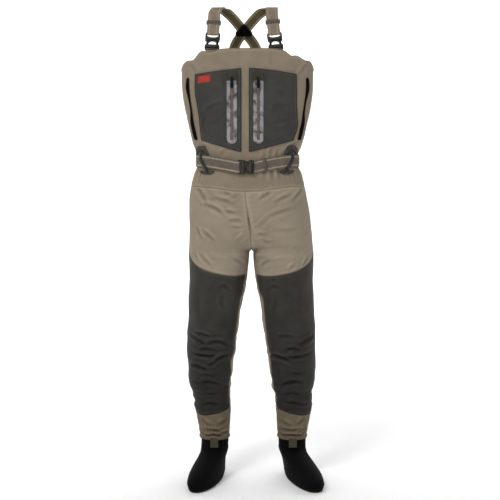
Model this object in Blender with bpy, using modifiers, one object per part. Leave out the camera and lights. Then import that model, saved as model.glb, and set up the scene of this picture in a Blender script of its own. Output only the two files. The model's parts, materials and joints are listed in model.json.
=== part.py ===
"""Stockingfoot chest waders, standing, facing -Y.

Metres, +Z up. The origin is on the floor under the middle of the waders' box.
Left and right are the wearer's: left is +X, right is -X.
Each cloth panel is a loft on one of two surfaces: the trunk, whose sections are
super-ellipses, and the legs, which grow out of it at the crotch.
"""

import math

import bmesh
import bpy
import numpy as np
from mathutils import Matrix, Vector

# Driving heights
BIB_TOP_Z = 1.345
ARMPIT_Z = 1.285
BACK_TOP_Z = 1.250
SHOULDER_Z = 1.482
BELT_SIDE_Z = 1.005
BELT_FRONT_Z = 0.983
YOKE_Z = 0.915
CROTCH_Z = 0.723
SPLIT_TOP_Z = 0.815
THIGH_Z = 0.645
SHIN_Z = 0.210
HEM_Z = 0.124

# Driving places
TRUNK_X = -0.0133
TRUNK_Y = 0.0443
LEGS_X = TRUNK_X + 0.0110
CHEST_X = TRUNK_X - 0.0075

# Cloth and webbing
CLOTH = 0.0024
SEAM_GAP = 0.0006
WEB_WIDTH = 0.038
WEB_THICK = 0.0014

SIDES = ((1, "left"), (-1, "right"))

# Trunk sections: height, half width, front depth, back depth
TRUNK = (
    (0.700, 0.197, 0.112, 0.128),
    (0.800, 0.194, 0.113, 0.130),
    (0.880, 0.187, 0.112, 0.126),
    (0.950, 0.174, 0.106, 0.114),
    (1.005, 0.158, 0.101, 0.104),
    (1.060, 0.170, 0.103, 0.103),
    (1.120, 0.187, 0.106, 0.106),
    (1.200, 0.202, 0.109, 0.110),
    (1.270, 0.206, 0.111, 0.112),
    (1.360, 0.206, 0.113, 0.112),
)

# Leg sections: height, centre from the middle, half width, front depth, back depth
LEG = (
    (0.110, 0.124, 0.048, 0.050, 0.052),
    (0.150, 0.126, 0.050, 0.052, 0.054),
    (0.215, 0.130, 0.056, 0.056, 0.060),
    (0.250, 0.131, 0.059, 0.059, 0.066),
    (0.310, 0.131, 0.070, 0.066, 0.074),
    (0.370, 0.127, 0.078, 0.074, 0.074),
    (0.440, 0.124, 0.082, 0.080, 0.070),
    (0.500, 0.118, 0.086, 0.082, 0.074),
    (0.560, 0.113, 0.090, 0.088, 0.084),
    (0.640, 0.103, 0.094, 0.098, 0.100),
    (0.723, 0.1005, 0.0990, 0.108, 0.122),
    (0.815, 0.1005, 0.0990, 0.112, 0.130),
)

# Height of the thigh seam round the leg, from the inner front (-1) to the inner back (1)
THIGH_SEAM = ((-1.0, 0.645), (-0.5, 0.650), (-0.15, 0.682), (0.0, 0.712),
              (0.30, 0.765), (0.60, 0.750), (1.0, 0.645))


def read_table(table, column, place):
    """A smooth value between the rows of a table."""
    heights = [row[0] for row in table]
    values = [row[column] for row in table]
    if place <= heights[0]:
        return values[0]
    if place >= heights[-1]:
        return values[-1]
    index = max(i for i, height in enumerate(heights[:-1]) if height <= place)
    slopes = np.gradient(values, heights)
    span = heights[index + 1] - heights[index]
    k = (place - heights[index]) / span
    return (values[index] * (1 + 2 * k) * (1 - k) ** 2
            + slopes[index] * span * k * (1 - k) ** 2
            + values[index + 1] * k * k * (3 - 2 * k)
            + slopes[index + 1] * span * k * k * (k - 1))


def signed_power(value, power):
    return math.copysign(abs(value) ** power, value)


def smooth(value):
    value = min(1.0, max(0.0, value))
    return value * value * (3 - 2 * value)


def trunk_point(side, turn, z):
    """turn runs from -1, front centre, past 0, the side seam, to 1, back centre."""
    angle = math.radians(90 * turn)
    depth = read_table(TRUNK, 2 if turn < 0 else 3, z)
    x = read_table(TRUNK, 1, z) * abs(math.cos(angle)) ** (2 / 2.4)
    y = depth * signed_power(math.sin(angle), 2 / 2.4)
    middle = TRUNK_X + (LEGS_X - TRUNK_X) * smooth((0.94 - z) / 0.19)
    return Vector((middle + side * x, TRUNK_Y + y, z))


def leg_middle(side, z):
    """Where a leg's middle line is; the right shin stands closer in than the left."""
    shift = 0.004 if side > 0 else -0.011
    centre = read_table(LEG, 1, z) + shift * smooth((0.33 - z) / 0.12)
    return LEGS_X + side * centre


def leg_point(side, turn, z):
    """turn runs from -1, the inner seam, over the front, the outside and the back to 1."""
    angle = math.radians(180 * turn)
    depth = read_table(LEG, 3 if turn < 0 else 4, z)
    centre = read_table(LEG, 1, z)
    x = centre + read_table(LEG, 2, z) * signed_power(math.cos(angle), 2 / 2.15)
    y = depth * signed_power(math.sin(angle), 2 / 2.15)
    return Vector((leg_middle(side, z) + side * (x - centre), TRUNK_Y + y, z))


def body_point(side, turn, z):
    """The trunk above, the legs below, and a saddle between them at the crotch."""
    if z >= SPLIT_TOP_Z:
        point = trunk_point(side, turn, z)
    elif z <= CROTCH_Z:
        point = leg_point(side, turn, z)
    else:
        rise = (z - CROTCH_Z) / (SPLIT_TOP_Z - CROTCH_Z)
        share = 1 - math.sqrt(1 - (1 - rise) ** 2)
        point = trunk_point(side, turn, z).lerp(leg_point(side, turn, z), share)
    middle = TRUNK_X + (LEGS_X - TRUNK_X) * smooth((0.94 - z) / 0.19)
    point.x = middle + side * max(SEAM_GAP, side * (point.x - middle))
    return point


def chest_point(x, z, proud=0.0):
    """A place on the front of the trunk at x, standing proud of the cloth."""
    half = read_table(TRUNK, 1, z)
    share = min(0.999, abs((x - TRUNK_X) / half))
    depth = read_table(TRUNK, 2, z)
    y = TRUNK_Y - depth * (1 - share ** 2.4) ** (1 / 2.4)
    slope = depth * share ** 1.4 * (1 - share ** 2.4) ** (1 / 2.4 - 1) / half
    normal = Vector((math.copysign(slope, x - TRUNK_X), -1, 0)).normalized()
    return Vector((x, y, z)) + normal * proud


def thigh_seam(turn):
    return read_table(THIGH_SEAM, 1, turn)


# Scene helpers

for old in list(bpy.data.objects):
    bpy.data.objects.remove(old, do_unlink=True)

parts = bpy.data.collections.new("chest_waders")
cutters = bpy.data.collections.new("cutters")
bpy.context.scene.collection.children.link(parts)
bpy.context.scene.collection.children.link(cutters)

MATERIALS = {
    "tan_cloth": ((0.222, 0.180, 0.138), 0.80, 0.0),
    "dark_cloth": ((0.032, 0.030, 0.027), 0.75, 0.0),
    "grey_cloth": ((0.047, 0.046, 0.040), 0.80, 0.0),
    "cuff_cloth": ((0.130, 0.105, 0.080), 0.80, 0.0),
    "neoprene": ((0.006, 0.006, 0.007), 0.90, 0.0),
    "sole_cloth": ((0.060, 0.050, 0.030), 0.90, 0.0),
    "webbing": ((0.210, 0.170, 0.130), 0.85, 0.0),
    "elastic": ((0.075, 0.060, 0.035), 0.85, 0.0),
    "belt_web": ((0.140, 0.115, 0.100), 0.85, 0.0),
    "black_plastic": ((0.012, 0.012, 0.011), 0.35, 0.0),
    "zip_film": ((0.230, 0.215, 0.225), 0.25, 0.0),
    "black_cloth": ((0.010, 0.010, 0.010), 0.85, 0.0),
    "loop_web": ((0.045, 0.047, 0.043), 0.85, 0.0),
}


def material(name):
    found = bpy.data.materials.get(name)
    if found:
        return found
    colour, roughness, metallic = MATERIALS[name]
    made = bpy.data.materials.new(name)
    made.use_nodes = True
    shader = made.node_tree.nodes["Principled BSDF"]
    shader.inputs["Base Color"].default_value = (*colour, 1)
    shader.inputs["Roughness"].default_value = roughness
    shader.inputs["Metallic"].default_value = metallic
    return made


def add_object(name, mesh, finish, collection=None):
    made = bpy.data.objects.new(name, mesh)
    (collection or parts).objects.link(made)
    if finish:
        mesh.materials.append(material(finish))
    return made


def add_origin(made, place):
    """Moves an object's origin to its joint's axis and keeps its shape in place."""
    made.data.transform(Matrix.Translation(-Vector(place)))
    made.location = place


def grid_mesh(name, rows, closed=False):
    """An open surface through rows of points, or a tube when the rows are closed."""
    mesh = bpy.data.meshes.new(name)
    shape = bmesh.new()
    grid = [[shape.verts.new(point) for point in row] for row in rows]
    for lower, upper in zip(grid, grid[1:]):
        count = len(lower)
        for i in range(count if closed else count - 1):
            j = (i + 1) % count
            shape.faces.new((lower[i], lower[j], upper[j], upper[i]))
    shape.to_mesh(mesh)
    shape.free()
    return mesh


def face_away(mesh, inside):
    """Turns the faces of an open surface away from a point inside the garment."""
    total = sum(face.normal.dot(face.center - Vector((inside[0], inside[1], face.center.z)))
                * face.area for face in mesh.polygons)
    if total < 0:
        mesh.flip_normals()


def cloth(name, rows, finish, inside, thick=CLOTH, closed=False):
    """A cloth panel: an open surface thickened towards the inside."""
    mesh = grid_mesh(name, rows, closed)
    face_away(mesh, inside)
    mesh.shade_smooth()
    made = add_object(name, mesh, finish)
    shell = made.modifiers.new("thickness", "SOLIDIFY")
    shell.thickness = thick
    shell.offset = -1
    return made


def box_object(name, low, high, finish=None, collection=None):
    """A box between two corners, as a mesh object."""
    mesh = bpy.data.meshes.new(name)
    shape = bmesh.new()
    bmesh.ops.create_cube(shape, size=1)
    size = Vector(high) - Vector(low)
    centre = (Vector(high) + Vector(low)) / 2
    bmesh.ops.scale(shape, vec=size, verts=shape.verts)
    bmesh.ops.translate(shape, vec=centre, verts=shape.verts)
    shape.to_mesh(mesh)
    shape.free()
    return add_object(name, mesh, finish, collection)


def add_boolean(target, tool, operation="DIFFERENCE"):
    tool.hide_render = True
    tool.display_type = "WIRE"
    cut = target.modifiers.new(tool.name, "BOOLEAN")
    cut.operation = operation
    cut.object = tool
    cut.solver = "EXACT"


def cut_box(target, low, high):
    tool = box_object(f"{target.name}_cut", low, high, None, cutters)
    tool.matrix_world = target.matrix_world
    add_boolean(target, tool)


def smooth_path(points, steps):
    """Places along a smooth curve through a few points."""
    spots = [Vector(point) for point in points]
    spots = [spots[0] * 2 - spots[1]] + spots + [spots[-1] * 2 - spots[-2]]
    path = []
    for i in range(1, len(spots) - 2):
        before, start, end, after = spots[i - 1:i + 3]
        for step in range(steps):
            k = step / steps
            path.append(0.5 * (2 * start + (end - before) * k
                               + (2 * before - 5 * start + 4 * end - after) * k * k
                               + (3 * start - before - 3 * end + after) * k ** 3))
    path.append(spots[-2])
    return path


def across_path(path, normals):
    """The width directions of webbing whose face turns along the normals."""
    across = []
    for i, normal in enumerate(normals):
        ahead = path[min(i + 1, len(path) - 1)] - path[max(i - 1, 0)]
        across.append(ahead.cross(normal).normalized())
    return across


def ribbon(name, path, across, finish, width=WEB_WIDTH, thick=WEB_THICK):
    """Flat webbing along a path."""
    rows = [[place - side * width / 2, place + side * width / 2]
            for place, side in zip(path, across)]
    mesh = grid_mesh(name, rows)
    made = add_object(name, mesh, finish)
    shell = made.modifiers.new("thickness", "SOLIDIFY")
    shell.thickness = thick
    shell.offset = 0
    shell.use_even_offset = True
    return made


# Trunk panels

def front_top(share):
    """Height of the bib's top edge, from the centre, 0, to the side seam, 1."""
    shoulder = 0.034 * smooth((share - 0.40) / 0.18)
    armpit = (BIB_TOP_Z - 0.034 - ARMPIT_Z) * smooth((share - 0.66) / 0.34)
    return BIB_TOP_Z - shoulder - armpit


def back_top(share):
    return BACK_TOP_Z + (ARMPIT_Z - BACK_TOP_Z) * smooth(share)


def make_bib(name, front, rise_rows, half_columns):
    """One bib panel from side seam to side seam."""
    edge = 0.005
    rows = []
    for row in range(rise_rows + 1):
        v = row / rise_rows
        line = []
        for column in range(-half_columns, half_columns + 1):
            share = abs(column) / half_columns * (1 - edge)
            side = 1 if column >= 0 else -1
            turn = 1 - share
            top = front_top(share) if front else back_top(share)
            z = YOKE_Z + SEAM_GAP + v * (top - YOKE_Z - SEAM_GAP)
            point = trunk_point(side, -turn if front else turn, z)
            line.append(point)
        rows.append(line)
    cloth(name, rows, "tan_cloth", (TRUNK_X, TRUNK_Y))


def make_hips():
    """Two front and two seat panels, from the yoke seam to the thigh seam."""
    low = [THIGH_Z, 0.672, 0.700]
    split = [CROTCH_Z + (SPLIT_TOP_Z - CROTCH_Z) * (1 - math.cos(math.radians(angle)))
             for angle in (2, 14, 30, 48, 68, 90)]
    levels = low + split + [YOKE_Z]
    for side, word in SIDES:
        for back, name in ((False, f"hip_front_{word}"), (True, f"seat_{word}")):
            rows = []
            for level in levels:
                line = []
                for column in range(11):
                    turn = max(0.003, column / 10)
                    signed = turn if back else -turn
                    seam = thigh_seam(signed)
                    share = (level - THIGH_Z) / (YOKE_Z - THIGH_Z)
                    z = seam + SEAM_GAP + share * (YOKE_Z - seam - 2 * SEAM_GAP)
                    if z < CROTCH_Z + 0.002:
                        signed = math.copysign(min(turn, 0.996), signed)
                    line.append(body_point(side, signed, z))
                rows.append(line)
            cloth(name, rows, "tan_cloth", (TRUNK_X + side * 0.09, TRUNK_Y))


# Leg panels

def gusset_front(z):
    """Where the gusset's front edge runs, in turns round the leg."""
    return -0.905 + 0.055 * math.exp(-((z - 0.365) / 0.045) ** 2)


GUSSET_BACK = 0.86


def leg_centre(side, z):
    """The middle of a leg, which its cloth faces away from."""
    return (leg_middle(side, z), TRUNK_Y)


def make_leg(side, word):
    """The hard-wearing leg panel and the gusset along the inner seam."""
    rise = 13
    inner_turns = [turn / 10 for turn in range(-8, 9)]
    leg_rows = []
    gusset_rows = []
    for row in range(rise + 1):
        v = row / rise
        line = []
        for turn in [None] + inner_turns + [GUSSET_BACK - 0.002]:
            if turn is None:
                z = SHIN_Z + SEAM_GAP + v * (thigh_seam(-0.9) - SHIN_Z - 2 * SEAM_GAP)
                turn = gusset_front(z) + 0.002
            z = SHIN_Z + SEAM_GAP + v * (thigh_seam(turn) - SHIN_Z - 2 * SEAM_GAP)
            line.append(body_point(side, turn, z))
        leg_rows.append(line)
        strip = []
        for column in range(5):
            u = column / 4
            z = SHIN_Z + SEAM_GAP + v * (THIGH_Z - SHIN_Z - 2 * SEAM_GAP)
            start = GUSSET_BACK + 0.002
            turn = start + u * (2 + gusset_front(z) - 0.002 - start)
            strip.append(leg_point(side, turn if turn <= 1 else turn - 2, z))
        gusset_rows.append(strip)
    cloth(f"leg_panel_{word}", leg_rows, "dark_cloth", leg_centre(side, 0.45))
    cloth(f"inseam_gusset_{word}", gusset_rows, "tan_cloth", leg_centre(side, 0.45))


def make_gravel_guard(side, word):
    """The gathered ankle cuff, a tube open at both ends."""
    rows = []
    levels = (SHIN_Z - SEAM_GAP, 0.190, 0.170, 0.150, 0.136, HEM_Z)
    for z in levels:
        line = []
        for column in range(28):
            line.append(leg_point(side, -1 + column / 14, z))
        rows.append(line)
    cloth(f"gravel_guard_{word}", rows, "cuff_cloth", leg_centre(side, 0.15), closed=True)


# Booties

TOE_OUT = {"left": math.radians(16), "right": math.radians(14)}
STEP_OUT = {"left": 0.017, "right": 0.010}
SOLE_THICK = 0.0035

# Bootie sections: height, half width, heel reach, toe reach
FOOT = (
    (0.000, 0.046, 0.063, 0.216),
    (0.012, 0.050, 0.066, 0.223),
    (0.030, 0.051, 0.067, 0.218),
    (0.050, 0.048, 0.065, 0.188),
    (0.072, 0.046, 0.061, 0.128),
    (0.095, 0.043, 0.056, 0.066),
    (0.125, 0.041, 0.048, 0.043),
    (0.170, 0.041, 0.046, 0.042),
    (0.204, 0.044, 0.048, 0.044),
)


def ankle(side):
    return Vector((leg_middle(side, 0.13), TRUNK_Y, 0))


def foot_ring(side, word, z, count=24, inset=0.0):
    """A closed outline of the foot at one height, heel to toe and back."""
    half = read_table(FOOT, 1, z) - inset
    heel = read_table(FOOT, 2, z) - inset
    toe = read_table(FOOT, 3, z) - inset
    ball = smooth((toe - 0.05) / 0.12)
    turn = Matrix.Rotation(side * TOE_OUT[word], 3, "Z")
    ring = []
    for i in range(count):
        angle = 2 * math.pi * i / count
        forward = -math.sin(angle)
        reach = toe if forward > 0 else heel
        along = reach * signed_power(forward, 2 / 2.3)
        width = half * (1 + ball * (0.04 * smooth(along / 0.12) - 0.30 * smooth(0.5 - along / 0.12)))
        across = width * signed_power(math.cos(angle), 2 / 2.3)
        bend = -side * 0.008 * ball * smooth(along / 0.2)
        spot = turn @ Vector((across + bend, -along, 0))
        spot.x += side * STEP_OUT[word] * smooth((0.120 - z) / 0.080)
        ring.append(ankle(side) + spot + Vector((0, 0, z)))
    return ring


def make_bootie(side, word):
    levels = (0.204, 0.170, 0.125, 0.098, 0.078, 0.058, 0.040, 0.024, 0.012)
    rows = [foot_ring(side, word, z) for z in levels]
    rows.append(foot_ring(side, word, SOLE_THICK + 0.0004))
    name = f"bootie_{word}"
    mesh = grid_mesh(name, rows, closed=True)
    shape = bmesh.new()
    shape.from_mesh(mesh)
    lowest = min(vert.co.z for vert in shape.verts)
    rim = [edge for edge in shape.edges if edge.is_boundary
           and all(vert.co.z < lowest + 0.0001 for vert in edge.verts)]
    bmesh.ops.contextual_create(shape, geom=rim)
    bmesh.ops.recalc_face_normals(shape, faces=shape.faces)
    shape.to_mesh(mesh)
    shape.free()
    face_away(mesh, ankle(side))
    mesh.shade_smooth()
    made = add_object(name, mesh, "neoprene")
    shell = made.modifiers.new("thickness", "SOLIDIFY")
    shell.thickness = 0.0035
    shell.offset = -1


def make_sole(side, word):
    """A flat sole under the bootie."""
    name = f"bootie_sole_{word}"
    rows = [foot_ring(side, word, 0.0, 24, -0.001)]
    rows.append([point + Vector((0, 0, SOLE_THICK)) for point in rows[0]])
    mesh = grid_mesh(name, rows, closed=True)
    shape = bmesh.new()
    shape.from_mesh(mesh)
    bmesh.ops.holes_fill(shape, edges=shape.edges)
    bmesh.ops.recalc_face_normals(shape, faces=shape.faces)
    shape.to_mesh(mesh)
    shape.free()
    add_object(name, mesh, "sole_cloth")


TAB_LEAN = math.radians(-34)


def make_hook_tab(side, word):
    """The webbing tab at the front of the cuff, which flips up on its stitches."""
    top = leg_point(side, -0.5, HEM_Z + 0.006) + Vector((0, -0.0040, 0))
    name = f"hook_tab_{word}"
    made = box_object(name, (-0.0125, -0.0008, -0.026), (0.0125, 0.0008, 0.004), "loop_web")
    made.matrix_world = Matrix.Translation(top) @ Matrix.Rotation(TAB_LEAN, 4, "X")


# Chest pockets and zips

POCKET_INNER = 0.0125
ZIP_X = 0.040
ZIP_TOP_Z = 1.266
ZIP_LOW_Z = 1.058
POCKET_PROUD = 0.0026
FILM_PROUD = 0.0046


def pocket_outer(z):
    """Half width of a chest pocket panel at a height."""
    lift = (z - 1.07) / 0.20
    return 0.1365 + 0.019 * smooth(lift) + 0.004 * math.sin(math.pi * min(1.0, max(0.0, lift)))


def make_pocket(side, word):
    rows = []
    for row in range(11):
        v = row / 10
        line = []
        for column in range(9):
            u = column / 8
            low = 1.034 + 0.036 * u ** 1.6
            high = 1.286 - 0.018 * u
            z = low + v * (high - low)
            reach = POCKET_INNER + u * (pocket_outer(z) - POCKET_INNER)
            line.append(chest_point(CHEST_X + side * reach, z, POCKET_PROUD))
        rows.append(line)
    cloth(f"chest_pocket_{word}", rows, "grey_cloth", (TRUNK_X, TRUNK_Y), 0.0020)


def make_pocket_bag(side, word):
    """The pocket's bag, hanging flat behind the bib."""
    rows = []
    for row in range(5):
        z = 1.075 + row / 4 * 0.195
        line = []
        for column in range(6):
            reach = 0.016 + column / 5 * 0.105
            line.append(chest_point(CHEST_X + side * reach, z, -CLOTH - 0.0012))
        rows.append(line)
    cloth(f"pocket_bag_{word}", rows, "black_cloth", (TRUNK_X, TRUNK_Y), 0.0030)


def make_zip(side, word):
    """The welded zip strip, its slider and the pull that hangs from it."""
    centre = CHEST_X + side * ZIP_X
    rows = []
    for row in range(9):
        z = ZIP_LOW_Z + row / 8 * (ZIP_TOP_Z - ZIP_LOW_Z)
        line = []
        for column in range(4):
            x = centre - 0.0155 + column / 3 * 0.031
            line.append(chest_point(x, z, FILM_PROUD))
        rows.append(line)
    cloth(f"zip_strip_{word}", rows, "zip_film", (TRUNK_X, TRUNK_Y), 0.0015)
    start = chest_point(centre, ZIP_TOP_Z - 0.012, FILM_PROUD)
    name = f"zip_slider_{word}"
    low = start + Vector((-0.0045, -0.0052, -0.0065))
    high = start + Vector((0.0045, -0.0010, 0.0065))
    slider = box_object(name, low, high, "black_plastic")
    add_origin(slider, start)
    bevel = slider.modifiers.new("edges", "BEVEL")
    bevel.width = 0.0008
    bevel.segments = 1
    hinge = start + Vector((0, -0.0070, 0.003))
    name = f"zip_pull_{word}"
    low = hinge + Vector((-0.0050, -0.0010, -0.036))
    high = hinge + Vector((0.0050, 0.0010, 0.0012))
    pull = box_object(name, low, high, "black_cloth")
    add_origin(pull, hinge)
    bevel = pull.modifiers.new("edges", "BEVEL")
    bevel.width = 0.0006
    bevel.segments = 1


def make_handwarmer(side, word):
    """The dark lining that shows in the open side pocket, beside the chest pocket."""
    rows = []
    for row in range(10):
        v = row / 9
        z = 1.070 + v * 0.195
        half = read_table(TRUNK, 1, z)
        inner = 0.900 - 0.040 * smooth((v - 0.80) / 0.20)
        line = [chest_point(TRUNK_X + side * half * (inner + 0.022 * column), z, 0.0016)
                for column in range(3)]
        rows.append(line)
    cloth(f"handwarmer_lining_{word}", rows, "black_cloth", (TRUNK_X, TRUNK_Y), 0.0010)


# Side-release buckles

BUCKLE_W = 0.046
SLOT_W = 0.0394


def make_buckle(prefix, place, names):
    """Both halves of a buckle. Local Z runs from the socket to the plug, local -Y is the face."""
    female = box_object(f"{prefix}_socket", (-BUCKLE_W / 2, -0.0045, -0.036),
                        (BUCKLE_W / 2, 0.0045, 0), "black_plastic")
    male = box_object(f"{prefix}_plug", (-BUCKLE_W / 2, -0.0035, 0.0005),
                      (BUCKLE_W / 2, 0.0035, 0.020), "black_plastic")
    tongue = box_object(f"{prefix}_tongue", (-0.004, -0.0018, -0.018),
                        (0.004, 0.0018, 0.004), None, cutters)
    tongue.matrix_world = place
    female.matrix_world = place
    male.matrix_world = place
    cut_box(female, (-0.018, -0.0030, -0.0215), (0.018, 0.0030, 0.001))
    cut_box(female, (-0.030, -0.0020, -0.0165), (0.030, 0.0020, -0.0055))
    cut_box(female, (-SLOT_W / 2, -0.006, -0.0330), (SLOT_W / 2, 0.006, -0.0265))
    cut_box(female, (-SLOT_W / 2, -0.006, -0.0370), (SLOT_W / 2, -0.0020, -0.0320))
    cut_box(female, (-SLOT_W / 2, 0.0020, -0.0370), (SLOT_W / 2, 0.006, -0.0320))
    cut_box(male, (-SLOT_W / 2, -0.006, 0.0080), (SLOT_W / 2, 0.006, 0.0160))
    cut_box(male, (-SLOT_W / 2, -0.006, 0.0150), (SLOT_W / 2, -0.0014, 0.0220))
    add_boolean(male, tongue, "UNION")
    for hand, word in zip((1, -1), names):
        make_arm(f"{prefix}_arm_{word}", place, hand)


def make_arm(name, place, hand):
    """One squeeze arm: an outline extruded through the buckle's thickness."""
    outline = ((0.0110, -0.0006), (0.0155, -0.0006), (0.0155, -0.0060), (0.0173, -0.0078),
               (0.0173, -0.0145), (0.0145, -0.0185), (0.0110, -0.0185))
    curve = bpy.data.curves.new(name, "CURVE")
    curve.dimensions = "2D"
    curve.fill_mode = "BOTH"
    curve.extrude = 0.0024
    spline = curve.splines.new("POLY")
    spline.points.add(len(outline) - 1)
    spline.use_cyclic_u = True
    for point, (x, z) in zip(spline.points, outline):
        point.co = (hand * x, z, 0, 1)
    source = bpy.data.objects.new(f"{name}_outline", curve)
    cutters.objects.link(source)
    evaluated = source.evaluated_get(bpy.context.evaluated_depsgraph_get())
    mesh = bpy.data.meshes.new_from_object(evaluated)
    shape = bmesh.new()
    shape.from_mesh(mesh)
    bmesh.ops.remove_doubles(shape, verts=shape.verts, dist=0.00001)
    bmesh.ops.rotate(shape, verts=shape.verts, matrix=Matrix.Rotation(math.pi / 2, 3, "X"))
    bmesh.ops.translate(shape, verts=shape.verts, vec=(-hand * 0.013, 0, 0))
    bmesh.ops.recalc_face_normals(shape, faces=shape.faces)
    shape.to_mesh(mesh)
    shape.free()
    bpy.data.objects.remove(source, do_unlink=True)
    made = add_object(name, mesh, "black_plastic")
    made.matrix_world = place @ Matrix.Translation((hand * 0.013, 0, 0))


def make_slide(name, place, finish="black_plastic"):
    """A flat ring that webbing runs through, along its local Z."""
    made = box_object(name, (-BUCKLE_W / 2, -0.0050, -0.007),
                      (BUCKLE_W / 2, 0.0042, 0.007), finish)
    made.matrix_world = place
    cut_box(made, (-SLOT_W / 2 - 0.0006, -0.0032, -0.010), (SLOT_W / 2 + 0.0006, 0.0024, 0.010))


# Shoulder straps

STRAP_LEAN = Vector((0.0, 0.42, 0.908)).normalized()
ANCHOR_X = {"left": TRUNK_X + 0.087, "right": TRUNK_X - 0.109}
ANCHOR_Y = {"left": TRUNK_Y - 0.0920, "right": TRUNK_Y - 0.0855}
ANCHOR_Z = 1.3385
TOP_X = {"left": TRUNK_X + 0.075, "right": TRUNK_X - 0.087}
STRAP_TILT = {"left": -0.10, "right": 0.05}


def strap_frame(word):
    """Place and direction of a shoulder buckle: its mouth, local Z up the strap."""
    up = (STRAP_LEAN + Vector((STRAP_TILT[word], 0, 0))).normalized()
    back = Vector((0, STRAP_LEAN.z, -STRAP_LEAN.y))
    across = back.cross(up).normalized()
    back = up.cross(across).normalized()
    mouth = Vector((ANCHOR_X[word], ANCHOR_Y[word], ANCHOR_Z)) + up * 0.0345
    place = Matrix((across, back, up)).transposed().to_4x4()
    place.translation = mouth
    return place


def make_shoulder(side, word):
    place = strap_frame(word)
    names = ("outer", "inner") if side > 0 else ("inner", "outer")
    make_buckle(f"shoulder_buckle_{word}", place, names)
    back = place.to_3x3() @ Vector((0, 1, 0))
    start = place @ Vector((0, 0.0012, 0.046))
    end = place @ Vector((0, 0.0012, 0.093))
    top = Vector((TOP_X[word], TRUNK_Y - 0.005, SHOULDER_Z - 0.001))
    path = [start, start.lerp(end, 0.5)]
    path += smooth_path((end, end.lerp(top, 0.55) + Vector((0, -0.006, 0.006)), top), 4)
    normals = []
    for i in range(len(path)):
        share = smooth(i / (len(path) - 1))
        normals.append((-back).lerp(Vector((0, 0, 1)), share).normalized())
    ribbon(f"strap_front_{word}", path, across_path(path, normals), "webbing")
    loop = [place @ Vector((0, y, z)) for y, z in LOOP_START]
    loop += [place @ Vector((0, -0.0011, z)) for z in (0.030, 0.052, 0.066)]
    ribbon(f"strap_loop_{word}", loop, across_path(loop, [-back] * len(loop)), "webbing")
    make_slide(f"tri_glide_{word}", place @ Matrix.Translation((0, 0, 0.0575)))
    bar = place @ Vector((0, 0, -0.0345))
    turn = [Vector((0, -0.0036 * math.cos(angle), 0.0036 * math.sin(angle)))
            for angle in np.linspace(0, math.pi, 7)]
    anchor = [bar + Vector((0, -0.0036, -0.036))]
    anchor += [bar + step for step in turn]
    anchor += [bar + Vector((0, 0.0036, -0.036))]
    across = place.to_3x3() @ Vector((1, 0, 0))
    ribbon(f"strap_anchor_{word}", anchor, [across] * len(anchor), "webbing")


# How webbing leaves a plug: out of the slot and over the bar, as depth and height
LOOP_START = ((-0.0004, 0.0115), (-0.0022, 0.0138), (-0.0027, 0.0165), (-0.0027, 0.0215))

CROSS = Vector((TRUNK_X - 0.012, TRUNK_Y + 0.077, 1.412))
CROSS_UP = Vector((0, -0.42, 0.907))
CROSS_FACE = Vector((0, -0.907, -0.42))
STRAP_LAYER = 0.0014


def make_back_straps():
    """Two elastic straps from the shoulders, crossing at a patch, to the back of the bib."""
    for side, word in SIDES:
        layer = CROSS_FACE * STRAP_LAYER * side
        sideways = Vector((side, 0, 0))
        top = Vector((TOP_X[word], TRUNK_Y + 0.003, SHOULDER_Z - 0.001))
        up = Vector((0, 0, 1))
        back = Vector((0, 1, 0.1))
        spots = (
            (top, up),
            (top + Vector((-side * 0.001, 0.014, -0.001)), up),
            (CROSS + sideways * 0.046 + CROSS_UP * 0.050 + layer, -CROSS_FACE),
            (CROSS + layer, -CROSS_FACE),
            (CROSS - sideways * 0.027 - CROSS_UP * 0.062 + layer, -CROSS_FACE),
            (Vector((TRUNK_X - side * 0.046, TRUNK_Y + 0.1155, BACK_TOP_Z + 0.030)), back),
            (Vector((TRUNK_X - side * 0.048, TRUNK_Y + 0.1165, BACK_TOP_Z - 0.020)), back),
        )
        steps = 4
        path = smooth_path([spot for spot, _ in spots], steps)
        normals = []
        for i in range(len(path)):
            first = min(i // steps, len(spots) - 2)
            share = i / steps - first
            normals.append(spots[first][1].lerp(spots[first + 1][1], share).normalized())
        across = across_path(path, normals)
        ribbon(f"strap_back_{word}", path, across, "elastic", 0.032, 0.0012)
    outline = []
    for corner in range(3):
        middle = math.radians(90 + 120 * corner)
        for swing in (-50, -25, 0, 25, 50):
            angle = middle + math.radians(swing)
            spot = Vector((math.cos(middle), math.sin(middle), 0)) * 0.0180
            spot += Vector((math.cos(angle), math.sin(angle), 0)) * 0.010
            outline.append((spot.x * 1.05, spot.y * 0.85))
    rows = []
    for proud in (0.0044, 0.0026):
        rows.append([CROSS + Vector((x, 0, 0)) + CROSS_UP * (z + 0.002) + CROSS_FACE * proud
                     for x, z in outline])
    mesh = grid_mesh("cross_patch", rows, closed=True)
    shape = bmesh.new()
    shape.from_mesh(mesh)
    bmesh.ops.holes_fill(shape, edges=shape.edges)
    bmesh.ops.recalc_face_normals(shape, faces=shape.faces)
    shape.to_mesh(mesh)
    shape.free()
    add_object("cross_patch", mesh, "black_cloth")


# Wading belt

BELT_PROUD = 0.0050


def belt_z(x, y):
    """The belt sags towards the middle of the front."""
    if y > TRUNK_Y:
        return BELT_SIDE_Z
    share = min(1.0, abs(x - CHEST_X) / 0.150)
    return BELT_FRONT_Z + (BELT_SIDE_Z - BELT_FRONT_Z) * smooth(share)


def belt_point(angle):
    """A place on the belt's middle line; angle 0 is +X and a quarter turn on is the back."""
    half = read_table(TRUNK, 1, BELT_SIDE_Z) + BELT_PROUD + 0.0030
    depth = read_table(TRUNK, 2, BELT_FRONT_Z) + BELT_PROUD
    x = TRUNK_X + half * signed_power(math.cos(angle), 2 / 2.6)
    y = TRUNK_Y + (depth + 0.0020) * signed_power(math.sin(angle), 2 / 2.6)
    return Vector((x, y, belt_z(x, y)))


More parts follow.
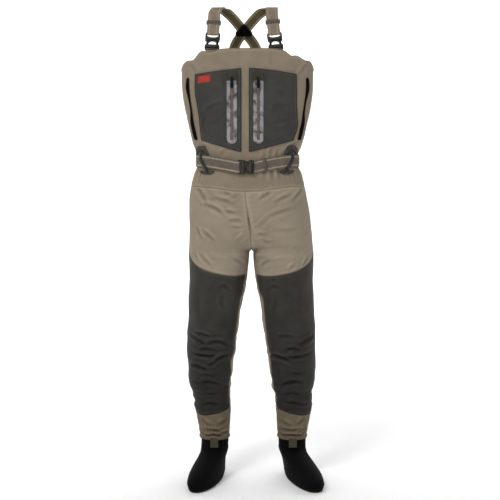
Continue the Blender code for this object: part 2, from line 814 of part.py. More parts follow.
def belt_normal(angle):
    """The direction straight out from the belt's face."""
    ahead = belt_point(angle + 0.01) - belt_point(angle - 0.01)
    return Vector((ahead.y, -ahead.x, 0)).normalized()


def make_belt():
    """Webbing round the waist, the doubled end, the keeper and the buckle."""
    face_y = belt_point(math.radians(-90)).y
    mouth = Vector((CHEST_X - 0.004, face_y - 0.0030, BELT_FRONT_Z))
    place = Matrix(((0, 0, -1), (0, 1, 0), (1, 0, 0))).to_4x4()
    place.translation = mouth
    make_buckle("belt_buckle", place, ("upper", "lower"))
    forward = Vector((0, -1, 0))
    path = [mouth + Vector((0.0305, 0.0008, 0)), mouth + Vector((0.0330, 0.0031, 0)),
            mouth + Vector((0.0375, 0.0036, 0))]
    angles = [math.radians(angle) for angle in np.linspace(-80, 252.5, 49)]
    path += [belt_point(angle) for angle in angles]
    normals = [forward] * 3 + [belt_normal(angle) for angle in angles]
    ribbon("belt_webbing", path, across_path(path, normals), "belt_web")
    fold = [place @ Vector((0, y, z)) for y, z in LOOP_START]
    tail = [math.radians(angle) for angle in (256, 253, 250.5, 248)]
    fold += [belt_point(angle) + belt_normal(angle) * 0.0030 for angle in tail]
    normals = [forward] * len(LOOP_START) + [belt_normal(angle) for angle in tail]
    ribbon("belt_fold", fold, across_path(fold, normals), "belt_web")
    angle = math.radians(-76)
    along = (belt_point(angle - 0.03) - belt_point(angle + 0.03)).normalized()
    inward = -belt_normal(angle)
    across = inward.cross(along).normalized()
    keeper = Matrix((across, along.cross(across), along)).transposed().to_4x4()
    keeper.translation = belt_point(angle) + inward * 0.0004
    make_slide("belt_keeper", keeper, "loop_web")


def make_belt_loop(name, angle, back=False):
    """A loop over the belt, sewn down above and below it."""
    rows = []
    middle = belt_point(angle)
    for rise, over in ((-0.036, False), (-0.027, False), (-0.0215, True), (0, True),
                       (0.0215, True), (0.027, False), (0.038, False)):
        line = []
        for swing in (-0.05, 0.05):
            belt = belt_point(angle + swing)
            z = middle.z + rise
            if over:
                spot = belt + belt_normal(angle + swing) * 0.0036
            elif back:
                spot = trunk_point(1, 1, z) + Vector((0, 0.0022, 0))
                spot.x = belt.x
            else:
                spot = chest_point(belt.x, z, 0.0024)
            line.append(Vector((spot.x, spot.y, z)))
        rows.append(line)
    cloth(name, rows, "loop_web", (TRUNK_X, TRUNK_Y), 0.0014)


make_bib("bib_front", True, 11, 12)
make_bib("bib_back", False, 9, 9)
make_hips()
for side_sign, side_word in SIDES:
    make_leg(side_sign, side_word)
    make_gravel_guard(side_sign, side_word)
    make_bootie(side_sign, side_word)
    make_sole(side_sign, side_word)
    make_hook_tab(side_sign, side_word)
    make_pocket(side_sign, side_word)
    make_pocket_bag(side_sign, side_word)
    make_zip(side_sign, side_word)
    make_handwarmer(side_sign, side_word)
    make_shoulder(side_sign, side_word)
    make_belt_loop(f"belt_loop_{side_word}", math.radians(-90 + side_sign * 46))
make_back_straps()
make_belt()
make_belt_loop("belt_loop_back", math.radians(90), True)
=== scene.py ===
"""Chest waders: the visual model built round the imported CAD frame.

Metres, +Z up, facing -Y. Left and right are the wearer's: left is +X.
The garment is one surface per side, indexed by row, hem to bib top, and by column,
which runs round the body from the inner front over the outside to the inner back.
"""

import json
import math

import bmesh
import bpy
import numpy as np
from mathutils import Matrix, Vector, noise
from mathutils.bvhtree import BVHTree

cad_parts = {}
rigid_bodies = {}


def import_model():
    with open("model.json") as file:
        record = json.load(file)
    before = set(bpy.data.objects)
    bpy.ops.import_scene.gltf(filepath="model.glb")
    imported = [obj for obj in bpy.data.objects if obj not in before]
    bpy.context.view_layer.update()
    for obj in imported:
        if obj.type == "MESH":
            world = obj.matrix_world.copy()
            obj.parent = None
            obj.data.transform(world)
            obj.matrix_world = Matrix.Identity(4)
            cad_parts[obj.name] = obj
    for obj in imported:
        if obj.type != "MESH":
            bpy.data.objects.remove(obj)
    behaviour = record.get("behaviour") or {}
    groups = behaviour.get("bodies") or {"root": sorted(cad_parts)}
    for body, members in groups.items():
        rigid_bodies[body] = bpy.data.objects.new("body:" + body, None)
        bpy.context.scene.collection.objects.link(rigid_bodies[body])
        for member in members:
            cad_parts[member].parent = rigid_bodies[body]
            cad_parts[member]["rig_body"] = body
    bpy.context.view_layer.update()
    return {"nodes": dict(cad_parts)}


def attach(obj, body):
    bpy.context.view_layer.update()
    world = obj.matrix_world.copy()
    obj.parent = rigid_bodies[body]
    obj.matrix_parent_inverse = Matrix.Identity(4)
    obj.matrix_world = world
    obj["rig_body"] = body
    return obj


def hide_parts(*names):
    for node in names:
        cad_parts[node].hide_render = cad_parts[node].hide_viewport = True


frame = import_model()

# Driving heights and places, the same as the CAD part's
BIB_TOP_Z = 1.345
ARMPIT_Z = 1.285
BACK_TOP_Z = 1.250
SHOULDER_Z = 1.482
BELT_SIDE_Z = 1.005
BELT_FRONT_Z = 0.987
YOKE_Z = 0.915
CROTCH_Z = 0.723
SPLIT_TOP_Z = 0.815
THIGH_Z = 0.645
SHIN_Z = 0.210
HEM_Z = 0.124
TRUNK_X = -0.0133
TRUNK_Y = 0.0443
LEGS_X = TRUNK_X + 0.0110
CHEST_X = TRUNK_X - 0.0075
SEAM_GAP = 0.0006
WEB_WIDTH = 0.038
WEB_STEPS = 3
SIDES = ((1, "left"), (-1, "right"))

# Powers of the rounded sections: 2 is an ellipse, and more is squarer
TRUNK_POWER = 2.4
LEG_POWER = 2.15
BELT_POWER = 2.6
FOOT_POWER = 2.3

# Trunk sections: height, half width, front depth, back depth
TRUNK = (
    (0.700, 0.197, 0.112, 0.128),
    (0.800, 0.194, 0.113, 0.130),
    (0.880, 0.189, 0.112, 0.126),
    (0.950, 0.175, 0.106, 0.114),
    (1.005, 0.154, 0.101, 0.104),
    (1.060, 0.172, 0.103, 0.103),
    (1.120, 0.187, 0.106, 0.106),
    (1.200, 0.202, 0.109, 0.110),
    (1.270, 0.206, 0.111, 0.112),
    (1.360, 0.206, 0.113, 0.112),
)

# Leg sections: height, centre from the middle, half width, front depth, back depth
LEG = (
    (0.110, 0.127, 0.045, 0.050, 0.052),
    (0.150, 0.128, 0.0455, 0.051, 0.053),
    (0.215, 0.132, 0.0585, 0.058, 0.062),
    (0.250, 0.132, 0.0620, 0.060, 0.068),
    (0.310, 0.131, 0.070, 0.066, 0.074),
    (0.370, 0.127, 0.078, 0.074, 0.074),
    (0.440, 0.124, 0.082, 0.080, 0.070),
    (0.500, 0.118, 0.086, 0.082, 0.074),
    (0.560, 0.113, 0.090, 0.088, 0.084),
    (0.640, 0.103, 0.094, 0.098, 0.100),
    (0.723, 0.1005, 0.0990, 0.108, 0.122),
    (0.815, 0.1005, 0.0990, 0.112, 0.130),
)

# Height of the thigh seam round the leg, from the inner front (-1) to the inner back (1)
THIGH_SEAM = ((-1.0, 0.656), (-0.5, 0.661), (-0.15, 0.701), (0.0, 0.740),
              (0.30, 0.780), (0.60, 0.757), (1.0, 0.656))


# Shapes shared with the CAD part

def read_table(table, column, place):
    """A smooth value between the rows of a table."""
    heights = [row[0] for row in table]
    values = [row[column] for row in table]
    if place <= heights[0]:
        return values[0]
    if place >= heights[-1]:
        return values[-1]
    index = max(i for i, height in enumerate(heights[:-1]) if height <= place)
    slopes = np.gradient(values, heights)
    span = heights[index + 1] - heights[index]
    k = (place - heights[index]) / span
    return (values[index] * (1 + 2 * k) * (1 - k) ** 2
            + slopes[index] * span * k * (1 - k) ** 2
            + values[index + 1] * k * k * (3 - 2 * k)
            + slopes[index + 1] * span * k * k * (k - 1))


def signed_power(value, power):
    return math.copysign(abs(value) ** power, value)


def smooth(value):
    """Rises gently from 0 to 1 as the value does."""
    value = min(1.0, max(0.0, value))
    return value * value * (3 - 2 * value)


def bell(value, width):
    """1 where the value is 0, falling away on both sides."""
    return np.exp(-(value / width) ** 2)


def ramp(value, width):
    """Straight from 0 to 1 as the value goes from 0 to the width."""
    return np.clip(value / width, 0, 1)


def middle_x(z):
    """The garment's middle line; the legs stand a little to the left of the chest."""
    return TRUNK_X + (LEGS_X - TRUNK_X) * smooth((0.94 - z) / 0.19)


def seam_lean(turn, z):
    """How far the front centre seam is pulled towards the right hip above the crotch."""
    return -0.0085 * bell(turn + 1, 0.22) * smooth((0.99 - z) / 0.05) * smooth((z - 0.745) / 0.17)


def trunk_point(side, turn, z):
    """turn runs from -1, front centre, past 0, the side seam, to 1, back centre."""
    angle = math.radians(90 * turn)
    depth = read_table(TRUNK, 2 if turn < 0 else 3, z)
    x = read_table(TRUNK, 1, z) * abs(math.cos(angle)) ** (2 / TRUNK_POWER)
    y = depth * signed_power(math.sin(angle), 2 / TRUNK_POWER)
    return Vector((middle_x(z) + side * x, TRUNK_Y + y, z))


def leg_middle(side, z):
    """Where a leg's middle line is; the right shin stands closer in than the left."""
    shift = 0.004 if side > 0 else -0.011
    centre = read_table(LEG, 1, z) + shift * smooth((0.33 - z) / 0.12)
    return LEGS_X + side * centre


def leg_point(side, turn, z):
    """turn runs from -1, the inner seam, over the front, the outside and the back to 1."""
    angle = math.radians(180 * turn)
    depth = read_table(LEG, 3 if turn < 0 else 4, z)
    reach = read_table(LEG, 2, z) * signed_power(math.cos(angle), 2 / LEG_POWER)
    y = depth * signed_power(math.sin(angle), 2 / LEG_POWER)
    return Vector((leg_middle(side, z) + side * reach, TRUNK_Y + y, z))


def body_point(side, turn, z):
    """The trunk above, the legs below, and a saddle between them at the crotch."""
    if z >= SPLIT_TOP_Z:
        point = trunk_point(side, turn, z)
    elif z <= CROTCH_Z:
        point = leg_point(side, turn, z)
    else:
        rise = (z - CROTCH_Z) / (SPLIT_TOP_Z - CROTCH_Z)
        share = 1 - math.sqrt(1 - (1 - rise) ** 2)
        point = trunk_point(side, turn, z).lerp(leg_point(side, turn, z), share)
    middle = middle_x(z)
    point.x = middle + side * max(SEAM_GAP, side * (point.x - middle))
    return point


def chest_point(x, z, proud=0.0):
    """A place on the front of the trunk at x, standing proud of the cloth."""
    half = read_table(TRUNK, 1, z)
    share = min(0.999, abs((x - TRUNK_X) / half))
    depth = read_table(TRUNK, 2, z)
    left_over = 1 - share ** TRUNK_POWER
    y = TRUNK_Y - depth * left_over ** (1 / TRUNK_POWER)
    slope = depth * share ** (TRUNK_POWER - 1) * left_over ** (1 / TRUNK_POWER - 1) / half
    normal = Vector((math.copysign(slope, x - TRUNK_X), -1, 0)).normalized()
    return Vector((x, y, z)) + normal * proud


def thigh_seam(turn):
    return read_table(THIGH_SEAM, 1, turn)


def front_top(share, side):
    """Height of the bib's top edge, from the centre, 0, to the side seam, 1."""
    shoulder = 0.034 * smooth((share - 0.40) / 0.18)
    if side > 0:
        shoulder = 0.018 * smooth((share - 0.31) / 0.11) + 0.016 * smooth((share - 0.44) / 0.20)
    armpit_start = 0.66 if side < 0 else 0.71
    armpit = (BIB_TOP_Z - 0.034 - ARMPIT_Z) * smooth((share - armpit_start) / (1 - armpit_start))
    dip = 0.0100 if side < 0 else 0.0065
    sag = dip * bell(share - 0.34, 0.10) * smooth((0.58 - share) / 0.15)
    return BIB_TOP_Z - shoulder - armpit - sag


def yoke_seam(turn):
    """The seam under the belt, lowest at the front and back centres."""
    return YOKE_Z - 0.003 + 0.014 * smooth((1 - abs(turn)) / 0.5)


def back_top(share):
    return BACK_TOP_Z + (ARMPIT_Z - BACK_TOP_Z) * smooth(share)


# Materials

PRINCIPLED = "Principled BSDF"
GRAIN_DEPTH = 0.0002


def srgb(red, green, blue):
    """A display colour, 0 to 255, as linear light."""
    return tuple(((value / 255 + 0.055) / 1.055) ** 2.4 for value in (red, green, blue))


def new_material(name, colour, roughness, sheen=0.0, specular=0.20):
    """A material with its Principled shader; gives the node tree too."""
    made = bpy.data.materials.new(name)
    made.use_nodes = True
    values = {"Base Color": (*colour, 1), "Roughness": roughness, "Sheen Weight": sheen,
              "Sheen Roughness": 0.6, "Specular IOR Level": specular}
    for key, value in values.items():
        made.node_tree.nodes[PRINCIPLED].inputs[key].default_value = value
    return made, made.node_tree


def add_node(tree, kind, inputs=None, **settings):
    """A node with its settings. An input that is another node's output is linked."""
    made = tree.nodes.new("ShaderNode" + kind)
    for key, value in settings.items():
        setattr(made, key, value)
    for key, value in (inputs or {}).items():
        if isinstance(value, bpy.types.NodeSocket):
            tree.links.new(value, made.inputs[key])
        else:
            made.inputs[key].default_value = value
    return made


def to_shader(tree, colour, bump):
    """Links the last bump to the shader, and the last colour if there is one."""
    inputs = tree.nodes[PRINCIPLED].inputs
    if colour is not None:
        tree.links.new(colour, inputs["Base Color"])
    tree.links.new(bump.outputs["Normal"], inputs["Normal"])


def noise_at(place, tree, scale, detail, roughness=0.5):
    """Smooth noise fixed to the object, from 0 to 1."""
    return add_node(tree, "TexNoise", {"Vector": place.outputs["Object"], "Scale": scale,
                                       "Detail": detail, "Roughness": roughness}).outputs["Fac"]


def remapped(tree, value, start, end, low, high):
    """A value from start to end, stretched to lie from low to high."""
    return add_node(tree, "MapRange", {"Value": value, "From Min": start, "From Max": end,
                                       "To Min": low, "To Max": high}).outputs["Result"]


def shaded(tree, colour, factor):
    """The colour, a value or another node's output, multiplied by a grey factor."""
    colour = colour if isinstance(colour, bpy.types.NodeSocket) else (*colour, 1)
    return add_node(tree, "Mix", {0: 1.0, 6: colour, 7: factor}, data_type="RGBA",
                    blend_type="MULTIPLY").outputs[2]


def weave_height(tree, vector, pitch, strength, distance):
    """A bump of crossing threads along the two directions of a vector output."""
    threads = [add_node(tree, "TexWave", {"Vector": vector, "Scale": 1.0 / pitch / 3.2,
                                          "Distortion": 0.4, "Detail": 1.0, "Detail Scale": 2.0},
                        wave_type="BANDS", bands_direction=direction).outputs["Fac"]
               for direction in ("X", "Y")]
    both = add_node(tree, "Math", dict(enumerate(threads)), operation="MAXIMUM")
    return add_node(tree, "Bump", {"Strength": strength, "Distance": distance,
                                   "Height": both.outputs[0]})


def fabric(name, colour, roughness=0.78, sheen=0.03, pitch=0.0011, mottling=0.06, crinkle=0.25,
           specular=0.20, folds=0.0, bottom_shade=1.0):
    """Woven shell cloth: a fine weave by UV, small crinkles, painted shade in its folds with a
    painted highlight on their ridges, and painted shade making it darker towards the bottom.
    """
    made, tree = new_material(name, colour, roughness, sheen, specular)
    place = add_node(tree, "TexCoord")
    uneven = noise_at(place, tree, 14.0, 5.0, 0.6)
    shade = shaded(tree, colour, remapped(tree, uneven, 0.3, 0.7, 1 - mottling, 1 + mottling))
    # Painted shade in the hollows of the folds and a painted highlight on their ridges, from the
    # mesh's pointiness.
    if folds:
        hollow = add_node(tree, "NewGeometry").outputs["Pointiness"]
        shade = shaded(tree, shade, remapped(tree, hollow, 0.465, 0.535, 1 - folds,
                                             1 + folds * 0.6))
    # Painted shade: darker towards the bottom, where less light falls on the lower legs.
    if bottom_shade < 1:
        height = add_node(tree, "SeparateXYZ", {"Vector": place.outputs["Object"]})
        shade = shaded(tree, shade, remapped(tree, height.outputs["Z"], 0.30, 0.56, bottom_shade, 1.0))
    weave = weave_height(tree, place.outputs["UV"], pitch, 0.35, 0.0003)
    bump = add_node(tree, "Bump", {"Strength": crinkle, "Distance": 0.0020,
                                   "Height": noise_at(place, tree, 60.0, 4.0, 0.55),
                                   "Normal": weave.outputs["Normal"]})
    to_shader(tree, shade, bump)
    return made


def striped(name, colour, stripe, bands, roughness=0.8, pitch=0.0016):
    """Woven webbing: UV x runs across it from 0 to 1, with coloured bands, and y along it."""
    made, tree = new_material(name, colour, roughness, 0.02)
    place = add_node(tree, "TexCoord")
    split = add_node(tree, "SeparateXYZ", {"Vector": place.outputs["UV"]})
    stripes = add_node(tree, "ValToRGB", {"Fac": split.outputs["X"]})
    stripes.color_ramp.interpolation = "CONSTANT"
    stops = stripes.color_ramp.elements
    stops[0].position = 0.0
    stops[0].color = (*colour, 1)
    stops.remove(stops[1])
    for low, high in bands:
        stops.new(low).color = (*stripe, 1)
        stops.new(high).color = (*colour, 1)
    scaled = add_node(tree, "VectorMath", {0: place.outputs["UV"], 1: (WEB_WIDTH, 1, 1)},
                      operation="MULTIPLY")
    worn = remapped(tree, noise_at(place, tree, 90.0, 3.0), 0.3, 0.7, 0.86, 1.12)
    to_shader(tree, shaded(tree, stripes.outputs["Color"], worn),
              weave_height(tree, scaled.outputs["Vector"], pitch, 0.6, 0.0004))
    return made


def plastic(name, colour, roughness=0.30, coat=0.10, specular=0.30, stain=None):
    """A moulding with a fine grain; a stain gives darker patches, as film that lies closer has."""
    made, tree = new_material(name, colour, roughness, 0.0, specular)
    shader = tree.nodes[PRINCIPLED]
    shader.inputs["Coat Weight"].default_value = coat
    shader.inputs["Coat Roughness"].default_value = 0.15
    place = add_node(tree, "TexCoord")
    shade = None
    if stain:
        share = remapped(tree, noise_at(place, tree, 48.0, 3.0), 0.34, 0.56, 0.0, 1.0)
        shade = add_node(tree, "Mix", {0: share, 6: (*stain, 1), 7: (*colour, 1)},
                         data_type="RGBA").outputs[2]
    to_shader(tree, shade, add_node(tree, "Bump", {"Strength": 0.15, "Distance": GRAIN_DEPTH,
                                                   "Height": noise_at(place, tree, 700.0, 2.0)}))
    return made


def thread(name, colour, sheen=0.05):
    """Thread, tape and piping: a fine, even weave."""
    return fabric(name, srgb(*colour), 0.8, sheen, 0.0008, 0.04, 0.1)


def plain_web(name, colour, roughness=0.8):
    """Webbing of one colour."""
    return striped(name, srgb(*colour), srgb(*colour), (), roughness)


# The folds setting paints shade into each cloth's folds and a highlight on their ridges; the dark
# shell also gets painted shade towards the bottom.
MATERIALS = {
    "tan_cloth": fabric("tan_shell", srgb(141, 130, 113), folds=0.30, mottling=0.10),
    "bib_cloth": fabric("tan_bib_shell", srgb(131, 119, 102), folds=0.25, mottling=0.09),
    "dark_cloth": fabric("dark_shell", srgb(48, 46, 42), 0.62, 0.01, folds=0.35, bottom_shade=0.46,
                         mottling=0.26),
    "grey_cloth": fabric("pocket_shell", srgb(55, 54, 51), 0.66, 0.01, folds=0.25,
                         mottling=0.18),
    # The cuff is the tan shell's cloth, its colour darkened as painted shade where less light falls
    # low down.
    "cuff_cloth": fabric("cuff_shell", srgb(100, 89, 72), 0.80, 0.02, folds=0.35,
                         mottling=0.10),
    "neoprene": fabric("neoprene_knit", srgb(9, 9, 11), 0.85, 0.0, 0.0008, 0.05, 0.10, 0.06),
    "sole_cloth": fabric("sole_felt", srgb(66, 58, 44), 0.90, 0.05, 0.0008, 0.10, 0.4),
    # Black cloth for the cross patch, and painted shade as a black sheet in the hand-warmer
    # openings.
    "black_cloth": fabric("black_patch_and_slit_shade", srgb(9, 9, 9), 0.90, 0.0, specular=0.03),
    "bag_cloth": fabric("pocket_bag_cloth", srgb(44, 43, 40), 0.8, 0.02),
    "patch_cloth": fabric("loop_patch", srgb(60, 59, 54), 0.75, 0.01),
    "garage_cloth": fabric("zip_garage_tape", srgb(54, 49, 38), 0.7, 0.02),
    "patch_red": fabric("plain_red_patch", srgb(160, 50, 43), 0.7, 0.02, 0.0006),
    "tape": thread("edge_tape", (120, 106, 88), 0.08),
    "dark_tape": thread("dark_edge_tape", (44, 43, 40), 0.06),
    "thread": thread("light_thread", (150, 137, 120)),
    "dark_thread": thread("dark_thread", (78, 73, 66)),
    "piping": thread("light_piping", (140, 127, 104), 0.02),
    "cuff_tape": thread("cuff_edge_tape", (84, 74, 60), 0.02),
    "webbing": striped("strap_webbing", srgb(126, 114, 101), srgb(148, 132, 102),
                       ((0.12, 0.22), (0.74, 0.85))),
    "belt_web": striped("belt_webbing", srgb(95, 87, 79), srgb(142, 131, 112),
                        ((0.10, 0.21), (0.79, 0.90))),
    "elastic": striped("back_elastic", srgb(92, 82, 62), srgb(146, 135, 96),
                       ((0.10, 0.22), (0.78, 0.90)), 0.85, 0.0022),
    "zip_tape": striped("zip_tape", srgb(104, 92, 82), srgb(52, 46, 44),
                        ((0.0, 0.16), (0.46, 0.54), (0.84, 1.0)), 0.5, 0.0018),
    "loop_web": plain_web("loop_webbing", (40, 41, 38), 0.6),
    "tab_web": plain_web("tab_webbing", (62, 60, 46), 0.85),
    "keeper_web": plain_web("keeper_webbing", (86, 78, 70)),
    "black_plastic": plastic("moulded_black", srgb(22, 22, 21)),
    "olive_plastic": plastic("moulded_olive", srgb(52, 50, 38), 0.45, 0.08),
    "slide_plastic": plastic("slide_plastic", srgb(92, 86, 80), 0.35, 0.3),
    "pull_rubber": plastic("pull_rubber", srgb(11, 12, 17), 0.6, 0.0, specular=0.12),
    "zip_film": plastic("welded_film", srgb(134, 131, 135), 0.22, 0.45, specular=0.5,
                        stain=srgb(56, 52, 50)),
}


# Mesh helpers

def add_piece(name, mesh, finish, body="root", nodes=()):
    """A visual piece that rides on a body and takes its finish from a material slot."""
    made = bpy.data.objects.new(name, mesh)
    bpy.context.scene.collection.objects.link(made)
    mesh.materials.clear()
    mesh.materials.append(MATERIALS[finish])
    if mesh.polygons:
        mesh.shade_smooth()
    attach(made, body)
    if nodes:
        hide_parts(*nodes)
    return made


def grid_mesh(name, rows, closed=False, uv=None, flip=False):
    """A surface through rows of points. Its UV map is in metres unless uv gives the rows' own."""
    points = np.array([[tuple(point) for point in row] for row in rows])
    if uv is None:
        across = np.zeros(points.shape[:2])
        across[:, 1:] = np.cumsum(np.linalg.norm(np.diff(points, axis=1), axis=2), axis=1)
        along = np.zeros(points.shape[:2])
        along[1:] = np.cumsum(np.linalg.norm(np.diff(points, axis=0), axis=2), axis=0)
        uv = np.stack([across, along], axis=2)
    count_rows, count = points.shape[:2]
    faces = []
    corners = []
    for r in range(count_rows - 1):
        for c in range(count if closed else count - 1):
            d = (c + 1) % count
            loop = [(r, c), (r, d), (r + 1, d), (r + 1, c)]
            if flip:
                loop.reverse()
            faces.append([a * count + b for a, b in loop])
            corners += [tuple(uv[a][b]) for a, b in loop]
    mesh = bpy.data.meshes.new(name)
    mesh.from_pydata([tuple(point) for point in points.reshape(-1, 3)], [], faces)
    layer = mesh.uv_layers.new(name="UVMap")
    layer.data.foreach_set("uv", np.array(corners).ravel())
    return mesh


def bake(made):
    """Applies an object's modifiers to its mesh."""
    evaluated = made.evaluated_get(bpy.context.evaluated_depsgraph_get())
    mesh = bpy.data.meshes.new_from_object(evaluated)
    made.modifiers.clear()
    made.data = mesh
    mesh.shade_smooth()
    return made


def thicken(made, thick, offset=-1.0):
    """Gives a cloth surface its thickness: -1 puts it behind the surface and 1 in front."""
    shell = made.modifiers.new("thickness", "SOLIDIFY")
    shell.thickness = thick
    shell.offset = offset
    shell.use_even_offset = False
    return bake(made)


def tube(name, path, radius, finish, body, closed=False, sides=6):
    """A thin round strand along a path, such as piping."""
    path = [Vector(point) for point in path]
    rows = []
    last = len(path) - 1
    for i, place in enumerate(path):
        ahead = path[(i + 1) % len(path) if closed else min(i + 1, last)]
        behind = path[i - 1 if closed else max(i - 1, 0)]
        along = (ahead - behind).normalized()
        first = along.cross(Vector((0.13, 0.21, 0.97))).normalized()
        second = along.cross(first)
        rows.append([place + (first * math.cos(angle) + second * math.sin(angle)) * radius
                     for angle in np.linspace(0, 2 * math.pi, sides, endpoint=False)])
    if closed:
        rows.append(rows[0])
    return add_piece(name, grid_mesh(name, rows, True), finish, body)


STITCH_PITCH = 0.0032
STITCH_WIDTH = 0.0007
STITCH_RISE = 0.0004


def stitches(name, lines, finish, body):
    """Rows of short raised stitches. Each line is its places and the cloth's normals there."""
    points = []
    faces = []
    for places, normals in lines:
        lengths = [0.0]
        for before, after in zip(places, places[1:]):
            lengths.append(lengths[-1] + (Vector(after) - Vector(before)).length)
        for station in np.arange(STITCH_PITCH / 2, lengths[-1] - STITCH_PITCH / 2, STITCH_PITCH):
            ends = []
            for at in (station - STITCH_PITCH * 0.36, station + STITCH_PITCH * 0.36):
                i = min(max(np.searchsorted(lengths, at) - 1, 0), len(lengths) - 2)
                k = (at - lengths[i]) / max(lengths[i + 1] - lengths[i], 1e-9)
                spot = Vector(places[i]).lerp(Vector(places[i + 1]), k)
                out = Vector(normals[i]).lerp(Vector(normals[i + 1]), k).normalized()
                ends.append((spot, out))
            along = (ends[1][0] - ends[0][0]).normalized()
            first = len(points)
            for spot, out in ends:
                side = out.cross(along).normalized() * STITCH_WIDTH / 2
                points += [spot - side, spot + side]
            middle = (ends[0][0] + ends[1][0]) / 2
            out = (ends[0][1] + ends[1][1]).normalized()
            side = out.cross(along).normalized() * STITCH_WIDTH * 0.4
            points += [middle + out * STITCH_RISE - side, middle + out * STITCH_RISE + side]
            for loop in ((0, 1, 5, 4), (4, 5, 3, 2), (0, 4, 2), (1, 3, 5)):
                faces.append([first + corner for corner in loop])
    mesh = bpy.data.meshes.new(name)
    mesh.from_pydata([tuple(point) for point in points], [], faces)
    return add_piece(name, mesh, finish, body)


def smooth_path(points, steps):
    """Places along a smooth curve through a few points."""
    spots = [Vector(point) for point in points]
    spots = [spots[0] * 2 - spots[1]] + spots + [spots[-1] * 2 - spots[-2]]
    path = []
    for i in range(1, len(spots) - 2):
        before, start, end, after = spots[i - 1:i + 3]
        for step in range(steps):
            k = step / steps
            path.append(0.5 * (2 * start + (end - before) * k
                               + (2 * before - 5 * start + 4 * end - after) * k * k
                               + (3 * start - before - 3 * end + after) * k ** 3))
    path.append(spots[-2])
    return path


# The garment's surface

CUFF_ROWS = 18
LEG_ROWS = 50
HIP_ROWS = 28
BIB_ROWS = 42
SHIN_ROW = CUFF_ROWS
THIGH_ROW = SHIN_ROW + LEG_ROWS
CROTCH_ROW = THIGH_ROW + 8
YOKE_ROW = THIGH_ROW + HIP_ROWS
TOP_ROW = YOKE_ROW + BIB_ROWS
COLUMNS = 56
SEAM_COLUMN = COLUMNS // 2
GUSSET_FRONT = 3
GUSSET_BACK = 52
SIMULATED_ROWS = YOKE_ROW + 12
CROTCH_SHARE = (CROTCH_Z - THIGH_Z) / (YOKE_Z - THIGH_Z)


def column_turn(column):
    return -1 + 2 * column / COLUMNS


def shin_seam(turn):
    """The seam over the gathered cuff dips at the front and rises to the inner side."""
    return SHIN_Z - 0.008 * bell(turn + 0.33, 0.20) + 0.014 * bell(1 - abs(turn), 0.33)


def row_height(row, turn, side):
    """Height of a row at one place round the body; four rows lie on seams."""
    if row <= SHIN_ROW:
        return HEM_Z + (shin_seam(turn) - HEM_Z) * row / CUFF_ROWS
    if row <= THIGH_ROW:
        low = shin_seam(turn)
        return low + (thigh_seam(turn) - low) * (row - SHIN_ROW) / LEG_ROWS
    if row <= CROTCH_ROW:
        share = (row - THIGH_ROW) / (CROTCH_ROW - THIGH_ROW) * CROTCH_SHARE
    elif row <= YOKE_ROW:
        share = (row - CROTCH_ROW) / (YOKE_ROW - CROTCH_ROW)
        share = CROTCH_SHARE + share * (1 - CROTCH_SHARE)
    else:
        top = front_top(1 + turn, side) if turn < 0 else back_top(1 - turn)
        low = yoke_seam(turn)
        return low + (top - low) * (row - YOKE_ROW) / BIB_ROWS
    low = thigh_seam(turn)
    return low + share * (yoke_seam(turn) - low)


def gusset_shift(turn, z):
    """The gusset widens behind the knee's inner side, which pushes the columns round."""
    reach = 0.107 if turn < -0.893 else 0.25
    near = max(0.0, 1 - abs(turn + 0.893) / reach)
    return turn + (0.075 * bell(z - 0.375, 0.040) + 0.070 * bell(z - 0.545, 0.075)) * near


def garment_rows(side):
    """Places on one side of the garment before it is worn."""
    rows = np.zeros((TOP_ROW + 1, COLUMNS + 1, 3))
    for row in range(TOP_ROW + 1):
        for column in range(COLUMNS + 1):
            turn = column_turn(column)
            z = row_height(row, turn, side)
            point = body_point(side, gusset_shift(turn, z), z)
            point.x += seam_lean(turn, z)
            if column in (0, COLUMNS) and row >= CROTCH_ROW:
                point.x = middle_x(z) + seam_lean(turn, z)
                if row == CROTCH_ROW:
                    point.y = TRUNK_Y
            rows[row, column] = point
    return rows


def shared_index(side, row, column):
    """The legs close on themselves below the crotch, and the two sides join above it."""
    if column == COLUMNS and row <= CROTCH_ROW:
        column = 0
    if row >= CROTCH_ROW and column in (0, COLUMNS):
        side = 1
    first = 0 if side > 0 else (SIMULATED_ROWS + 1) * (COLUMNS + 1)
    return first + row * (COLUMNS + 1) + column


def joined_mesh(sheets):
    """One mesh of both sides, and where each grid place is in it."""
    used = {}
    points = []
    faces = []
    for side, _ in SIDES:
        for row in range(SIMULATED_ROWS + 1):
            for column in range(COLUMNS + 1):
                key = shared_index(side, row, column)
                if key not in used:
                    used[key] = len(points)
                    points.append(tuple(sheets[side][row, column]))
        for row in range(SIMULATED_ROWS):
            for column in range(COLUMNS):
                loop = [(row, column), (row, column + 1), (row + 1, column + 1), (row + 1, column)]
                if side < 0:
                    loop.reverse()
                faces.append([used[shared_index(side, r, c)] for r, c in loop])
    mesh = bpy.data.meshes.new("garment")
    mesh.from_pydata(points, [], faces)
    return mesh, used


# Draping the legs
KNEE_Z = 0.430
SHIN_FOLD_Z = 0.262
HIP_FOLD_Z = 0.740
BELTED_Z = 0.985
DRAPE_FRAMES = 34
CALM_PASSES = 6
CLOTH_RULES = {
    "quality": 5, "mass": 0.22, "tension_stiffness": 25, "compression_stiffness": 25,
    "shear_stiffness": 12, "bending_model": "ANGULAR", "bending_stiffness": 0.6,
    "tension_damping": 8, "compression_damping": 8, "shear_damping": 8, "bending_damping": 0.5,
    "air_damping": 2, "vertex_group_mass": "held", "pin_stiffness": 1,
}


def longer(height):
    """The cut length up to a height: the legs are cut longer than they stand."""
    heights = np.linspace(0.10, 1.40, 1301)
    stretch = 1.030 + 0.130 * bell(heights - KNEE_Z, 0.090)
    stretch += 0.040 * bell(heights - SHIN_FOLD_Z, 0.045)
    stretch += 0.040 * bell(heights - HIP_FOLD_Z, 0.080)
    stretch[heights > BELTED_Z] = 1.0
    total = np.concatenate([[0], np.cumsum((stretch[1:] + stretch[:-1]) / 2 * np.diff(heights))])
    return np.interp(height, heights, total) + heights[0]


